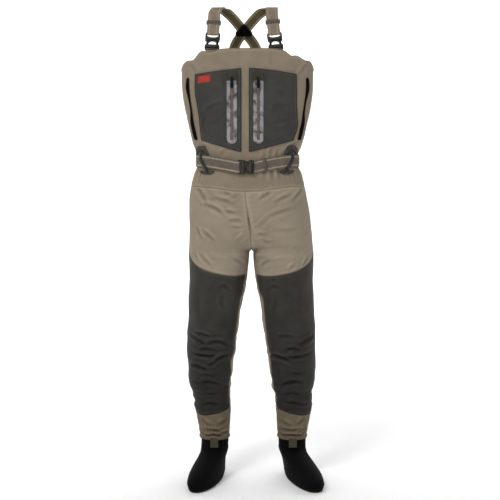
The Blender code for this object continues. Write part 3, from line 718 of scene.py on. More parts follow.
def wear(sheets):
    """Drapes the legs and hips: held at the belt and the cuffs, over a slightly smaller body."""
    mesh, used = joined_mesh(sheets)
    start = np.array([vertex.co for vertex in mesh.vertices])
    normals = np.array([vertex.normal for vertex in mesh.vertices])
    cloth = bpy.data.objects.new("garment", mesh)
    body = bpy.data.objects.new("wearer", mesh.copy())
    for made in (cloth, body):
        bpy.context.scene.collection.objects.link(made)
    slack = 0.005 + 0.012 * bell(start[:, 2] - KNEE_Z, 0.11)
    slack += 0.002 * bell(start[:, 2] - SHIN_FOLD_Z, 0.05)
    for vertex, place in zip(body.data.vertices, start - normals * slack[:, None]):
        vertex.co = place
    body.modifiers.new("solid", "COLLISION")
    body.collision.thickness_outer = 0.002
    body.collision.thickness_inner = 0.02
    body.collision.cloth_friction = 6
    cloth.shape_key_add(name="Basis")
    cut = cloth.shape_key_add(name="cut")
    held = cloth.vertex_groups.new(name="held")
    basis = cloth.data.shape_keys.key_blocks["Basis"]
    for i, place in enumerate(start):
        x, y, z = place
        cut.data[i].co = (x, y, longer(z))
        weight = smooth((z - 0.940) / 0.040) if z > 0.8 else smooth((SHIN_Z + 0.016 - z) / 0.02)
        held.add([i], weight, "REPLACE")
        rise = noise.noise(Vector((x * 7, y * 7, z * 34)) + Vector((3, 1, 7)))
        spot = Vector(place) + Vector(normals[i]) * rise * 0.0050 * (1 - weight)
        mesh.vertices[i].co = spot
        basis.data[i].co = spot
    drape = cloth.modifiers.new("drape", "CLOTH")
    for key, value in CLOTH_RULES.items():
        setattr(drape.settings, key, value)
    drape.settings.rest_shape_key = cut
    drape.collision_settings.distance_min = 0.0015
    drape.collision_settings.collision_quality = 2
    drape.point_cache.frame_start = 1
    drape.point_cache.frame_end = DRAPE_FRAMES
    for step in range(1, DRAPE_FRAMES + 1):
        bpy.context.scene.frame_set(step)
    evaluated = cloth.evaluated_get(bpy.context.evaluated_depsgraph_get())
    worn = np.array([vertex.co for vertex in evaluated.data.vertices])
    bpy.context.scene.frame_set(1)
    for made in (cloth, body):
        bpy.data.objects.remove(made, do_unlink=True)
    for side, _ in SIDES:
        for row in range(SIMULATED_ROWS + 1):
            for column in range(COLUMNS + 1):
                sheets[side][row, column] = worn[used[shared_index(side, row, column)]]
    for _ in range(CALM_PASSES):
        wide = {side: padded_columns(sheets, side, CROTCH_ROW) for side, _ in SIDES}
        for side, points in wide.items():
            calm = points[:, 1:-1] / 2 + (points[:, :-2] + points[:, 2:]) / 4
            calm[CROTCH_ROW, [0, -1]] = sheets[side][CROTCH_ROW, [0, -1]]
            sheets[side][:SIMULATED_ROWS] = calm[:SIMULATED_ROWS]
    return sheets


def beside(sheets, side, row, column, crotch):
    """The column just outside a side's grid: round the leg, or over the middle."""
    near = {-1: 1, 1: sheets[side].shape[1] - 2}[column]
    far = sheets[side].shape[1] - 1 - near
    return sheets[side][row, far] if row <= crotch else sheets[-side][row, near]


def padded_columns(sheets, side, crotch):
    left = np.array([beside(sheets, side, row, -1, crotch) for row in range(len(sheets[side]))])
    right = np.array([beside(sheets, side, row, 1, crotch) for row in range(len(sheets[side]))])
    return np.concatenate([left[:, None], sheets[side], right[:, None]], axis=1)


def halfway(points):
    """Doubles the places along the second axis, which has one extra place at each end."""
    kept = points[:, 1:-1]
    between = (9 * (points[:, 1:-2] + points[:, 2:-1]) - points[:, :-3] - points[:, 3:]) / 16
    finer = np.zeros((points.shape[0], kept.shape[1] * 2 - 1, 3))
    finer[:, 0::2] = kept
    finer[:, 1::2] = between
    return finer


def refine(sheets, crotch):
    """Twice the rows and columns, through the same places."""
    wide = {side: halfway(padded_columns(sheets, side, crotch)) for side, _ in SIDES}
    finer = {}
    for side, _ in SIDES:
        tall = wide[side].transpose(1, 0, 2)
        tall = np.concatenate([tall[:, :1] * 2 - tall[:, 1:2], tall,
                               tall[:, -1:] * 2 - tall[:, -2:-1]], axis=1)
        finer[side] = halfway(tall).transpose(1, 0, 2)
    return finer


def sheet_normals(sheets, crotch):
    found = {}
    for side, _ in SIDES:
        padded = padded_columns(sheets, side, crotch)
        across = padded[:, 2:] - padded[:, :-2]
        along = np.gradient(sheets[side], axis=0)
        normal = np.cross(across, along) * side
        found[side] = normal / np.maximum(np.linalg.norm(normal, axis=2, keepdims=True), 1e-9)
    return found


# Creases of the worn cloth in millimetres: x and z of three places that a fold's valley runs
# through, its depth and its half width. Each group has its own strength.
CREASES = (
    (1.25, (
        (-181, 927, -158, 910, -133, 880, 5.0, 7.5), (-172, 905, -152, 893, -136, 868, 3.0, 6.0),
        (-159, 872, -117, 862, -83, 836, 4.8, 7.5), (-105, 918, -80, 910, -58, 899, 3.0, 5.5),
        (-125, 897, -85, 884, -46, 875, 3.8, 6.5), (-88, 857, -68, 850, -46, 848, 3.4, 6.0),
        (-77, 820, -52, 825, -29, 823, 3.0, 5.5), (-173, 806, -165, 785, -153, 759, 3.6, 7.0),
        (-162, 798, -137, 778, -111, 756, 3.4, 7.0), (-181, 725, -173, 706, -162, 689, 3.0, 6.0),
        (-167, 725, -146, 702, -120, 678, 3.2, 7.0), (13, 882, 40, 902, 69, 918, 3.6, 6.5),
        (66, 876, 97, 893, 125, 904, 3.2, 6.5), (41, 829, 88, 850, 139, 862, 2.6, 8.0),
        (120, 880, 145, 905, 160, 930, 3.0, 6.5), (153, 675, 168, 696, 179, 717, 3.0, 6.0),
        (111, 667, 124, 680, 137, 694, 2.6, 6.0), (60, 800, 100, 792, 145, 800, 1.8, 10.0),
        (30, 765, 46, 757, 62, 754, 2.8, 6.0), (-60, 700, -40, 694, -24, 676, 2.6, 6.0),
        (62, 700, 40, 692, 26, 672, 2.6, 6.0), (-20, 868, -8, 815, 2, 770, 3.0, 4.5),
        (-66, 806, -46, 802, -26, 806, 2.6, 4.5), (10, 775, 26, 782, 46, 776, 2.8, 5.0),
        (-48, 760, -32, 772, -18, 790, 2.6, 4.5), (-30, 920, -60, 895, -100, 884, 1.8, 4.5),
        (60, 845, 30, 815, 12, 800, 2.0, 5.0),
        (-104, 606, -88, 620, -70, 600, 3.4, 7.0), (-88, 598, -94, 570, -84, 540, 2.6, 8.0),
        (48, 600, 68, 618, 84, 604, 3.4, 7.0), (66, 594, 72, 566, 64, 535, 2.6, 8.0),
        (-160, 640, -168, 570, -160, 500, 1.8, 11.0), (142, 640, 150, 570, 142, 500, 1.8, 11.0),
    )),
    (2.4, (
        (-178, 468, -155, 466, -127, 456, 3.6, 5.5), (-193, 462, -167, 448, -139, 429, 4.4, 6.0),
        (-145, 433, -106, 443, -70, 423, 4.8, 6.2), (-169, 410, -139, 422, -106, 410, 4.6, 5.5),
        (-190, 404, -152, 400, -114, 398, 6.2, 5.8), (-115, 381, -95, 394, -68, 400, 5.0, 6.0),
        (-143, 369, -125, 374, -105, 383, 4.0, 5.5), (-196, 366, -166, 362, -134, 347, 4.8, 6.5),
        (-166, 336, -140, 336, -114, 329, 3.6, 5.5), (-156, 305, -136, 314, -92, 300, 4.6, 6.0),
        (-188, 292, -166, 292, -146, 287, 3.6, 5.0), (-142, 275, -130, 275, -112, 272, 3.0, 5.0),
        (-150, 242, -126, 243, -104, 240, 4.0, 5.5), (141, 425, 168, 444, 193, 456, 4.4, 6.2),
        (99, 408, 126, 421, 153, 406, 4.8, 5.8), (103, 390, 143, 396, 186, 403, 6.2, 6.0),
        (48, 398, 90, 391, 131, 373, 5.8, 6.2), (160, 436, 178, 446, 192, 466, 3.2, 5.5),
        (80, 455, 108, 459, 140, 452, 2.6, 7.0), (88, 296, 126, 313, 163, 306, 4.6, 6.2),
        (100, 246, 124, 245, 148, 242, 4.0, 5.5), (110, 345, 132, 340, 165, 343, 2.6, 7.0),
        (104, 272, 128, 276, 152, 270, 2.6, 6.0),
    )),
    (1.0, (
        (-105, 1020, -85, 1035, -60, 1055, 1.6, 6.0), (30, 1012, 50, 1030, 85, 1046, 1.6, 6.0),
        (-170, 1060, -150, 1055, -120, 1030, 2.4, 7.0), (140, 1060, 120, 1050, 95, 1022, 2.4, 7.0),
        (-200, 1300, -180, 1290, -170, 1262, 2.4, 8.0), (175, 1300, 160, 1290, 150, 1262, 2.4, 8.0),
    )),
    (1.9, (
        (-152, 163, -120, 156, -88, 162, 3.4, 5.8), (-160, 150, -140, 139, -112, 149, 4.0, 4.4),
        (-134, 153, -106, 141, -74, 154, 4.0, 4.8), (-152, 133, -118, 141, -86, 131, 3.0, 4.1),
        (-126, 165, -104, 150, -72, 146, 2.8, 5.1), (-158, 196, -147, 178, -122, 168, 3.0, 8.5),
        (-78, 194, -90, 181, -112, 172, 3.0, 8.5), (90, 162, 125, 156, 160, 162, 3.4, 5.8),
        (80, 150, 104, 139, 130, 149, 4.0, 4.4), (112, 150, 140, 138, 172, 152, 4.0, 4.8),
        (94, 132, 130, 141, 164, 131, 3.0, 4.1), (170, 166, 150, 150, 118, 144, 2.8, 5.1),
        (88, 192, 104, 178, 128, 168, 3.0, 8.5), (168, 196, 155, 182, 138, 171, 3.0, 8.5),
    )),
)
CREASE_STEPS = 10


def crease_lift(x, z, crease):
    """How far a crease moves places out, negative in its valley and proud just above it."""
    cells = np.array(crease) / 1000
    start, middle, end = cells[:6].reshape(3, 2)
    depth, half = cells[6], cells[7] * 0.75
    bend = middle * 2 - (start + end) / 2
    steps = np.linspace(0, 1, CREASE_STEPS + 1)[:, None]
    line = start * (1 - steps) ** 2 + bend * 2 * steps * (1 - steps) + end * steps ** 2
    nearest = np.full(x.shape, 1e9)
    signed = np.zeros(x.shape)
    share = np.zeros(x.shape)
    for i, (a, b) in enumerate(zip(line, line[1:])):
        ahead = b - a
        k = ((x - a[0]) * ahead[0] + (z - a[1]) * ahead[1]) / float(np.hypot(*ahead)) ** 2
        held = np.clip(k, 0, 1)
        off_x = x - a[0] - held * ahead[0]
        off_z = z - a[1] - held * ahead[1]
        distance = np.hypot(off_x, off_z)
        closer = distance < nearest
        nearest = np.where(closer, distance, nearest)
        rise = (off_z * ahead[0] - off_x * ahead[1]) * math.copysign(1, ahead[0])
        signed = np.where(closer, np.copysign(distance, rise), signed)
        share = np.where(closer, (i + held) / CREASE_STEPS, share)
    taper = np.clip(np.sin(np.pi * np.clip(share, 0, 1)), 0, 1) ** 1.1
    ridges = (0.75 * bell(signed - 1.9 * half, 1.35 * half)
              + 0.30 * bell(signed + 2.1 * half, 1.3 * half))
    return depth * taper * (ridges - bell(signed, half))


def cloud(points, scale, offset):
    """Smooth noise at each place, from about -1 to 1."""
    flat = points.reshape(-1, 3) * np.array(scale)
    values = [noise.noise(Vector(place) + Vector((offset, 2.3, 5.1))) for place in flat]
    return np.array(values).reshape(points.shape[:2])


def fold_across(signed, valley, ridge, ridge_at):
    """The section of a fold behind: a valley and the ridge above it."""
    return 0.8 * bell(signed - ridge_at, ridge) - bell(signed, valley)


def rear_folds(turn, z, rear, rng):
    """Folds behind the knees and shins, and slanting ones under the seat."""
    lift = np.zeros(z.shape)
    for _ in range(26):
        height = rng.uniform(0.23, 0.50)
        centre = rng.uniform(0.15, 0.95)
        reach = rng.uniform(0.18, 0.34)
        sag = rng.uniform(-0.020, 0.012)
        depth = rng.uniform(0.002, 0.0046)
        across = (turn - centre) / reach
        signed = z - (height + sag * (1 - across ** 2))
        fade = np.clip(1 - across ** 2, 0, 1) * rear ** 0.3
        lift += depth * fade * fold_across(signed, 0.0065, 0.009, 0.011)
    for _ in range(9):
        height = rng.uniform(0.70, 0.90)
        centre = rng.uniform(0.45, 0.9)
        reach = rng.uniform(0.2, 0.4)
        slope = rng.uniform(0.03, 0.12)
        across = (turn - centre) / reach
        signed = z - height + slope * (turn - centre)
        fade = np.clip(1 - across ** 2, 0, 1) * rear
        lift += 0.0030 * fade * fold_across(signed, 0.008, 0.011, 0.013)
    return lift


def waist_pleats(points, turn, z, side):
    """Uneven pleats above and below the belt."""
    pleat = np.sin(turn * 46 + 3 * np.sin(turn * 9 + side)) + np.sin(turn * 71 + side)
    reach = bell(np.abs(z - 1.000) - 0.028, 0.020) * (z < 1.060) * np.where(z < 1, 2.0, 1.0)
    uneven = np.clip(0.45 + 1.1 * cloud(points, (14, 14, 6), 11.0), 0, 1.2)
    return 0.0011 * pleat * reach * uneven


def cuff_gathers(turn, z, side):
    """The gathered cuff, its bulge over the ankle and its elastic hem."""
    gather = np.sin(turn * 60 + 4 * np.sin(turn * 11 + 2 * side) + 30 * (z - 0.16))
    gather += 0.7 * np.sin(turn * 97 + 5 * np.sin(turn * 7) - 40 * (z - 0.15))
    low = ramp(z - 0.137, 0.012) * ramp(0.206 - z, 0.030)
    bulge = np.clip(1 - ((z - 0.158) / 0.040) ** 2, 0, 1)
    calm = np.clip((0.165 - z) / 0.02, 0.25, 1)
    hem = np.clip(1 - ((z - 0.1285) / 0.0065) ** 2, 0, 1)
    scallop = np.sin(turn * 84 + 2 * np.sin(turn * 17))
    return 0.0013 * gather * low * calm + 0.0034 * bulge + (0.0016 + 0.0019 * scallop) * hem


def seam_lift(row, column, turn, y, z):
    """Valleys along the seams, with puckers beside them, and the fold down to the crotch."""
    lift = np.zeros(z.shape)
    pucker = np.sin(turn * 130 + 4 * np.sin(turn * 13))
    for seam in (SHIN_ROW, THIGH_ROW, YOKE_ROW):
        lift -= 0.0012 * bell(row - seam, 0.42)
        lift += 0.00045 * pucker * bell(np.abs(row - seam) - 1.2, 0.8)
    lift -= 0.0010 * (row >= THIGH_ROW) * bell(column - SEAM_COLUMN, 0.42)
    for seam in (GUSSET_FRONT, GUSSET_BACK):
        lift -= 0.0009 * (row >= SHIN_ROW) * (row <= THIGH_ROW) * bell(column - seam, 0.42)
    middle = (row >= CROTCH_ROW) * (row <= YOKE_ROW)
    edge = np.minimum(column, COLUMNS - column)
    crotch_fold = ramp(0.885 - z, 0.09) ** 1.5 * (y < TRUNK_Y) * ramp(z - 0.736, 0.025)
    lift -= middle * (0.0014 * bell(edge, 0.5) + 0.0062 * crotch_fold * bell(edge, 0.95))
    lift += middle * (0.0014 * crotch_fold * bell(edge - 2.4, 1.0)
                      + 0.0004 * np.sin(z * 420) * bell(edge - 1.3, 0.8))
    return lift


def soft_lift(points, z):
    """Slow undulations, stronger on the thighs."""
    thigh = ramp(z - 0.42, 0.05) * ramp(0.70 - z, 0.05)
    lift = 0.0010 * cloud(points, (9, 9, 16), 3.0) * ramp(1.0 - z, 0.06)
    lift += 0.0030 * cloud(points, (19, 12, 6), 13.0) * thigh
    lift += 0.0012 * cloud(points, (44, 30, 15), 17.0) * thigh
    lift += 0.00035 * cloud(points, (42, 42, 55), 8.0)
    chest = cloud(points, (34, 12, 9), 5.0) + 0.5 * cloud(points, (70, 30, 26), 7.0) - 0.3
    lift += 0.0020 * chest * ramp(z - 1.285, 0.02)
    return lift + 0.0014 * chest * ramp(z - 1.02, 0.02) * (z < 1.285)


def shape_cloth(sheets, normals):
    """Adds the creases, gathers and welded seams to the worn surface."""
    rng = np.random.default_rng(7)
    shaped = {}
    for side, _ in SIDES:
        points = sheets[side]
        count_rows, count = points.shape[:2]
        row = np.arange(count_rows)[:, None] / 2 * np.ones((1, count))
        column = np.arange(count)[None] / 2 * np.ones((count_rows, 1))
        turn = np.ones((count_rows, 1)) * (-1 + 2 * np.arange(count) / (count - 1))[None]
        x, y, z = points[..., 0], points[..., 1], points[..., 2]
        front = np.clip(-normals[side][..., 1] * 2.5, 0, 1)
        rear = np.clip(normals[side][..., 1] * 2.5, 0, 1)
        lift = rear_folds(turn, z, rear, rng)
        for strength, creases in CREASES:
            for crease in creases:
                lift += crease_lift(x, z, crease) * front * strength
        lift += waist_pleats(points, turn, z, side)
        lift += np.where(row <= SHIN_ROW, cuff_gathers(turn, z, side), 0)
        lift += seam_lift(row, column, turn, y, z) + soft_lift(points, z)
        chest = ramp(z - 1.03, 0.04)
        lift = np.where(chest > 0, np.minimum(lift, 0.0010 + 0.002 * (1 - chest)), lift)
        shaped[side] = points + normals[side] * lift[..., None]
    return shaped


# The thickness of every cut panel's cloth
CLOTH_THICK = 0.0011


def panel(kind, word, rows, finish, flip=False, closed=False):
    """One cut panel: a sheet of cloth that stands for a CAD node."""
    node = kind + word
    name = f"{node}_cloth"
    mesh = grid_mesh(name, rows, closed, None, flip)
    made = thicken(add_piece(name, mesh, finish, "root", (node,)), CLOTH_THICK)


def cut_panels(sheets):
    """Cuts the surface along its seams."""
    left = sheets[1]
    right = sheets[-1]
    low = SHIN_ROW * 2
    thigh = THIGH_ROW * 2
    yoke = YOKE_ROW * 2
    seam = SEAM_COLUMN * 2
    front = np.concatenate([right[yoke:, seam:0:-1], left[yoke:, :seam + 1]], axis=1)
    panel("bib_front", "", front, "bib_cloth")
    back = np.concatenate([left[yoke:, seam:-1], right[yoke:, :seam - 1:-1]], axis=1)
    panel("bib_back", "", back, "bib_cloth")
    for side, word in SIDES:
        points = sheets[side]
        hips = points[thigh:yoke + 1]
        leg = points[low:thigh + 1]
        gusset = np.concatenate([leg[:, GUSSET_BACK * 2:-1], leg[:, :GUSSET_FRONT * 2 + 1]], axis=1)
        for kind, rows, finish, rests in (
                ("hip_front", hips[:, :seam + 1], "tan_cloth", ["bib_front_cloth"]),
                ("seat", hips[:, seam:], "tan_cloth", ["bib_back_cloth"]),
                ("leg_panel", leg[:, GUSSET_FRONT * 2:GUSSET_BACK * 2 + 1], "dark_cloth",
                 [f"hip_front_{word}_cloth", f"seat_{word}_cloth"]),
                ("inseam_gusset", gusset, "tan_cloth", [f"seat_{word}_cloth"])):
            panel(kind, f"_{word}", rows, finish, flip=side < 0)
        panel("gravel_guard", f"_{word}", points[:low + 1, :-1], "cuff_cloth",
              side < 0, True)


sheets = {side: garment_rows(side) for side, _ in SIDES}
sheets = wear(sheets)
fine = refine(sheets, CROTCH_ROW)
fine = shape_cloth(fine, sheet_normals(fine, CROTCH_ROW * 2))
fine_normals = sheet_normals(fine, CROTCH_ROW * 2)
cut_panels(fine)


# Hard parts

def home(node):
    """The CAD body that a node belongs to, which its visual piece rides on."""
    return frame["nodes"][node]["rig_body"]


CORNER_STEPS = 4


def rounded(points, radius):
    """An outline with its corners rounded."""
    spots = [Vector(point) for point in points]
    outline = []
    for i, corner in enumerate(spots):
        before = spots[i - 1]
        after = spots[(i + 1) % len(spots)]
        start = corner + (before - corner).normalized() * min(radius, (before - corner).length / 2)
        end = corner + (after - corner).normalized() * min(radius, (after - corner).length / 2)
        for step in range(CORNER_STEPS + 1):
            k = step / CORNER_STEPS
            outline.append(start * (1 - k) ** 2 + corner * 2 * k * (1 - k) + end * k ** 2)
    return outline


def plate_mesh(outlines, half, bevel):
    """A flat moulding: outlines in x and z, the later ones holes, half its depth each way in y."""
    curve = bpy.data.curves.new("outline", "CURVE")
    curve.dimensions = "2D"
    curve.fill_mode = "BOTH"
    curve.extrude = half - bevel
    curve.bevel_depth = bevel
    curve.bevel_resolution = 2
    curve.offset = -bevel
    for outline in outlines:
        spline = curve.splines.new("POLY")
        spline.points.add(len(outline) - 1)
        spline.use_cyclic_u = True
        for point, (x, z) in zip(spline.points, outline):
            point.co = (x, z, 0, 1)
    source = bpy.data.objects.new("outline", curve)
    bpy.context.scene.collection.objects.link(source)
    evaluated = source.evaluated_get(bpy.context.evaluated_depsgraph_get())
    mesh = bpy.data.meshes.new_from_object(evaluated)
    bpy.data.objects.remove(source, do_unlink=True)
    mesh.transform(Matrix.Rotation(math.pi / 2, 4, "X"))
    return mesh


def joined(name, meshes):
    """One mesh out of several, each with its own placing matrix."""
    shape = bmesh.new()
    for mesh, place in meshes:
        part = mesh.copy()
        part.transform(place)
        shape.from_mesh(part)
        bpy.data.meshes.remove(part)
    bmesh.ops.remove_doubles(shape, verts=shape.verts, dist=0.000005)
    mesh = bpy.data.meshes.new(name)
    shape.to_mesh(mesh)
    shape.free()
    return mesh


def add_moulding(name, meshes, finish, body, nodes=()):
    """A moulded piece with crisp edges between its flat and rounded faces."""
    made = add_piece(name, joined(name, meshes), finish, body, nodes)
    made.data.set_sharp_from_angle(angle=math.radians(38))
    return made


def block_mesh(low, high, bevel):
    """A box with rounded edges."""
    shape = bmesh.new()
    bmesh.ops.create_cube(shape, size=1)
    bmesh.ops.scale(shape, vec=Vector(high) - Vector(low), verts=shape.verts)
    bmesh.ops.translate(shape, vec=(Vector(high) + Vector(low)) / 2, verts=shape.verts)
    bmesh.ops.bevel(shape, geom=shape.edges, offset=bevel, segments=3, profile=0.5,
                    affect="EDGES")
    mesh = bpy.data.meshes.new("block")
    shape.to_mesh(mesh)
    shape.free()
    return mesh


def mirrored(points):
    """A full outline from its right half, given from the bottom up."""
    return list(points) + [(-x, z) for x, z in reversed(points)]


def shift(x=0.0, y=0.0, z=0.0):
    return Matrix.Translation((x, y, z))


SOCKET_OUTLINE = ((0.0185, -0.0365), (0.0222, -0.0340), (0.0230, -0.0250), (0.0226, -0.0190),
                  (0.0190, -0.0172), (0.0182, -0.0110), (0.0190, -0.0052), (0.0228, -0.0036),
                  (0.0222, -0.0002))
SOCKET_WINDOW = ((0.0132, -0.0168), (0.0118, -0.0110), (0.0076, -0.0058), (0.0025, -0.0038))
SOCKET_SLOT = ((0.0180, -0.0328), (0.0180, -0.0290))
PLUG_OUTLINE = ((0.0205, 0.0007), (0.0229, 0.0030), (0.0229, 0.0205), (0.0200, 0.0239))
PLUG_WINDOW = ((0.0030, 0.0082), (0.0100, 0.0092), (0.0158, 0.0118), (0.0180, 0.0140),
               (0.0180, 0.0178))
ARM_OUTLINE = ((0.0112, -0.0008), (0.0153, -0.0008), (0.0155, -0.0060), (0.0172, -0.0080),
               (0.0172, -0.0145), (0.0145, -0.0183), (0.0112, -0.0183))


def add_buckle(node, place, words, piece):
    """A side-release buckle: socket, plug and its two arms, each on its own body."""
    holes = [rounded(mirrored(SOCKET_WINDOW), 0.0022), rounded(mirrored(SOCKET_SLOT), 0.0012)]
    shell = plate_mesh([rounded(mirrored(SOCKET_OUTLINE), 0.0022)] + holes, 0.0044, 0.0012)
    dome = plate_mesh([rounded(mirrored(((0.0176, -0.0262), (0.0186, -0.0216), (0.0120, -0.0186),
                                         (0.0040, -0.0178))), 0.0016)], 0.0016, 0.0012)
    lip = plate_mesh([rounded(mirrored(((0.0205, -0.0364), (0.0205, -0.0332))), 0.0012)],
                     0.0011, 0.0009)
    add_moulding(f"{piece}_socket", [(shell, place), (lip, place @ shift(y=-0.0040))],
                 "black_plastic", home(f"{node}_socket"), (f"{node}_socket",))
    add_moulding(f"{piece}_dome", [(dome, place @ shift(y=-0.0044))],
                 "olive_plastic", home(f"{node}_socket"))
    plug = plate_mesh([rounded(mirrored(PLUG_OUTLINE), 0.0026),
                       rounded(mirrored(PLUG_WINDOW), 0.0016)], 0.0034, 0.0010)
    bar = block_mesh((-0.0208, -0.0044, 0.0184), (0.0208, -0.0008, 0.0238), 0.0010)
    add_moulding(f"{piece}_plug", [(plug, place), (bar, place)],
                 "black_plastic", home(f"{node}_plug"), (f"{node}_plug",))
    saddle = plate_mesh([rounded(mirrored(((0.0120, 0.0016), (0.0185, 0.0026), (0.0190, 0.0104),
                                           (0.0110, 0.0078), (0.0030, 0.0064))), 0.0012)],
                        0.0010, 0.0007)
    add_moulding(f"{piece}_saddle", [(saddle, place @ shift(y=-0.0036))],
                 "olive_plastic", home(f"{node}_plug"))
    for hand, word in zip((1, -1), words):
        outline = [(hand * x, z) for x, z in ARM_OUTLINE]
        arm = plate_mesh([rounded(outline, 0.0010)], 0.0023, 0.0006)
        pad = block_mesh((hand * 0.0168 - 0.0007, -0.0020, -0.0142),
                         (hand * 0.0168 + 0.0007, 0.0020, -0.0084), 0.0005)
        add_moulding(f"{piece}_arm_{word}", [(arm, place), (pad, place)], "black_plastic",
                     home(f"{node}_arm_{word}"), (f"{node}_arm_{word}",))


def add_tri_glide(name, node, place, finish):
    """A three-bar slide: the webbing runs behind its front bars."""
    outline = rounded(((0.0226, -0.0062), (0.0226, 0.0062), (-0.0226, 0.0062),
                       (-0.0226, -0.0062)), 0.0022)
    slots = [rounded(((0.0196, low), (0.0196, low + 0.0022), (-0.0196, low + 0.0022),
                      (-0.0196, low)), 0.0008) for low in (-0.0040, 0.0018)]
    face = plate_mesh([outline] + slots, 0.0009, 0.0005)
    rear = plate_mesh([outline], 0.0008, 0.0005)
    meshes = [(face, place @ shift(y=-0.0041)), (rear, place @ shift(y=0.0034))]
    for hand in (1, -1):
        low = (hand * 0.0216 - 0.0011, -0.0040, -0.0050)
        high = (hand * 0.0216 + 0.0011, 0.0036, 0.0050)
        meshes.append((block_mesh(low, high, 0.0006), place))
    add_moulding(name, meshes, finish, home(node), (node,))


def add_keeper(name, node, place):
    """A stitched webbing band round the doubled belt."""
    half = 0.0200
    loop = []
    for x, y in ((-half, -0.0030), (-half + 0.001, -0.0042), (half - 0.001, -0.0042),
                 (half, -0.0030), (half, 0.0024), (half - 0.001, 0.0034),
                 (-half + 0.001, 0.0034), (-half, 0.0024)):
        loop.append((x, y))
    rows = [[place @ Vector((x, y, z)) for x, y in loop] for z in (-0.0050, 0.0050)]
    made = add_piece(name, grid_mesh(name, rows, True), "keeper_web", home(node),
                     (node,))
    thicken(made, 0.0010, 0.0)


# Webbing

def across_path(path, normals):
    """The width directions of webbing whose face turns along the normals."""
    across = []
    for i, normal in enumerate(normals):
        ahead = path[min(i + 1, len(path) - 1)] - path[max(i - 1, 0)]
        across.append(ahead.cross(normal).normalized())
    return across


def add_webbing(name, path, across, finish, body, nodes=(), width=WEB_WIDTH, thick=0.0014):
    """Flat webbing with soft edges along a path; its UV x runs across it from 0 to 1."""
    places = smooth_path(path, WEB_STEPS)
    sides = [side.normalized() for side in smooth_path(across, WEB_STEPS)]
    edge = (-1.0, -0.975, -0.92, -0.55, -0.2, 0.2, 0.55, 0.92, 0.975, 1.0)
    ring = [(u, 1.0 if abs(u) < 0.97 else 0.75 if abs(u) < 0.99 else 0.25) for u in edge]
    ring += [(u, -height) for u, height in reversed(ring)]
    rows = []
    uv = []
    along = 0.0
    for i, (place, side) in enumerate(zip(places, sides)):
        ahead = places[min(i + 1, len(places) - 1)] - places[max(i - 1, 0)]
        normal = side.cross(ahead).normalized()
        if i:
            along += (place - places[i - 1]).length
        rows.append([place + side * u * width / 2 + normal * height * thick / 2
                     for u, height in ring])
        uv.append([((u + 1) / 2, along) for u, _ in ring])
    mesh = grid_mesh(name, rows, True, np.array(uv))
    shape = bmesh.new()
    shape.from_mesh(mesh)
    shape.verts.ensure_lookup_table()
    count = len(ring)
    layer = shape.loops.layers.uv.active
    for first in (0, len(shape.verts) - count):
        cap = shape.faces.new([shape.verts[first + i] for i in range(count)])
        for loop, (u, _) in zip(cap.loops, ring):
            loop[layer].uv = ((u + 1) / 2, along if first else 0.0)
    bmesh.ops.recalc_face_normals(shape, faces=shape.faces)
    shape.to_mesh(mesh)
    shape.free()
    made = add_piece(name, mesh, finish, body, nodes)
    made.data.set_sharp_from_angle(angle=math.radians(50))
    return made


STRAP_LEAN = Vector((0.0, 0.42, 0.908)).normalized()
ANCHOR_X = {"left": TRUNK_X + 0.087, "right": TRUNK_X - 0.109}
ANCHOR_Y = {"left": TRUNK_Y - 0.0920, "right": TRUNK_Y - 0.0855}
ANCHOR_Z = 1.3425
TOP_X = {"left": TRUNK_X + 0.075, "right": TRUNK_X - 0.087}
STRAP_TILT = {"left": -0.10, "right": 0.05}
LOOP_START = ((-0.0002, 0.0155), (-0.0024, 0.0176), (-0.0045, 0.0205), (-0.0036, 0.0260))
CROSS = Vector((TRUNK_X - 0.012, TRUNK_Y + 0.077, 1.412))
CROSS_UP = Vector((0, -0.42, 0.907))
CROSS_FACE = Vector((0, -0.907, -0.42))
STRAP_LAYER = 0.0014


def strap_frame(word):
    """Place and direction of a shoulder buckle: its mouth, local Z up the strap."""
    up = (STRAP_LEAN + Vector((STRAP_TILT[word], 0, 0))).normalized()
    back = Vector((0, STRAP_LEAN.z, -STRAP_LEAN.y))
    across = back.cross(up).normalized()
    back = up.cross(across).normalized()
    place = Matrix((across, back, up)).transposed().to_4x4()
    place.translation = Vector((ANCHOR_X[word], ANCHOR_Y[word], ANCHOR_Z)) + up * 0.0345
    return place


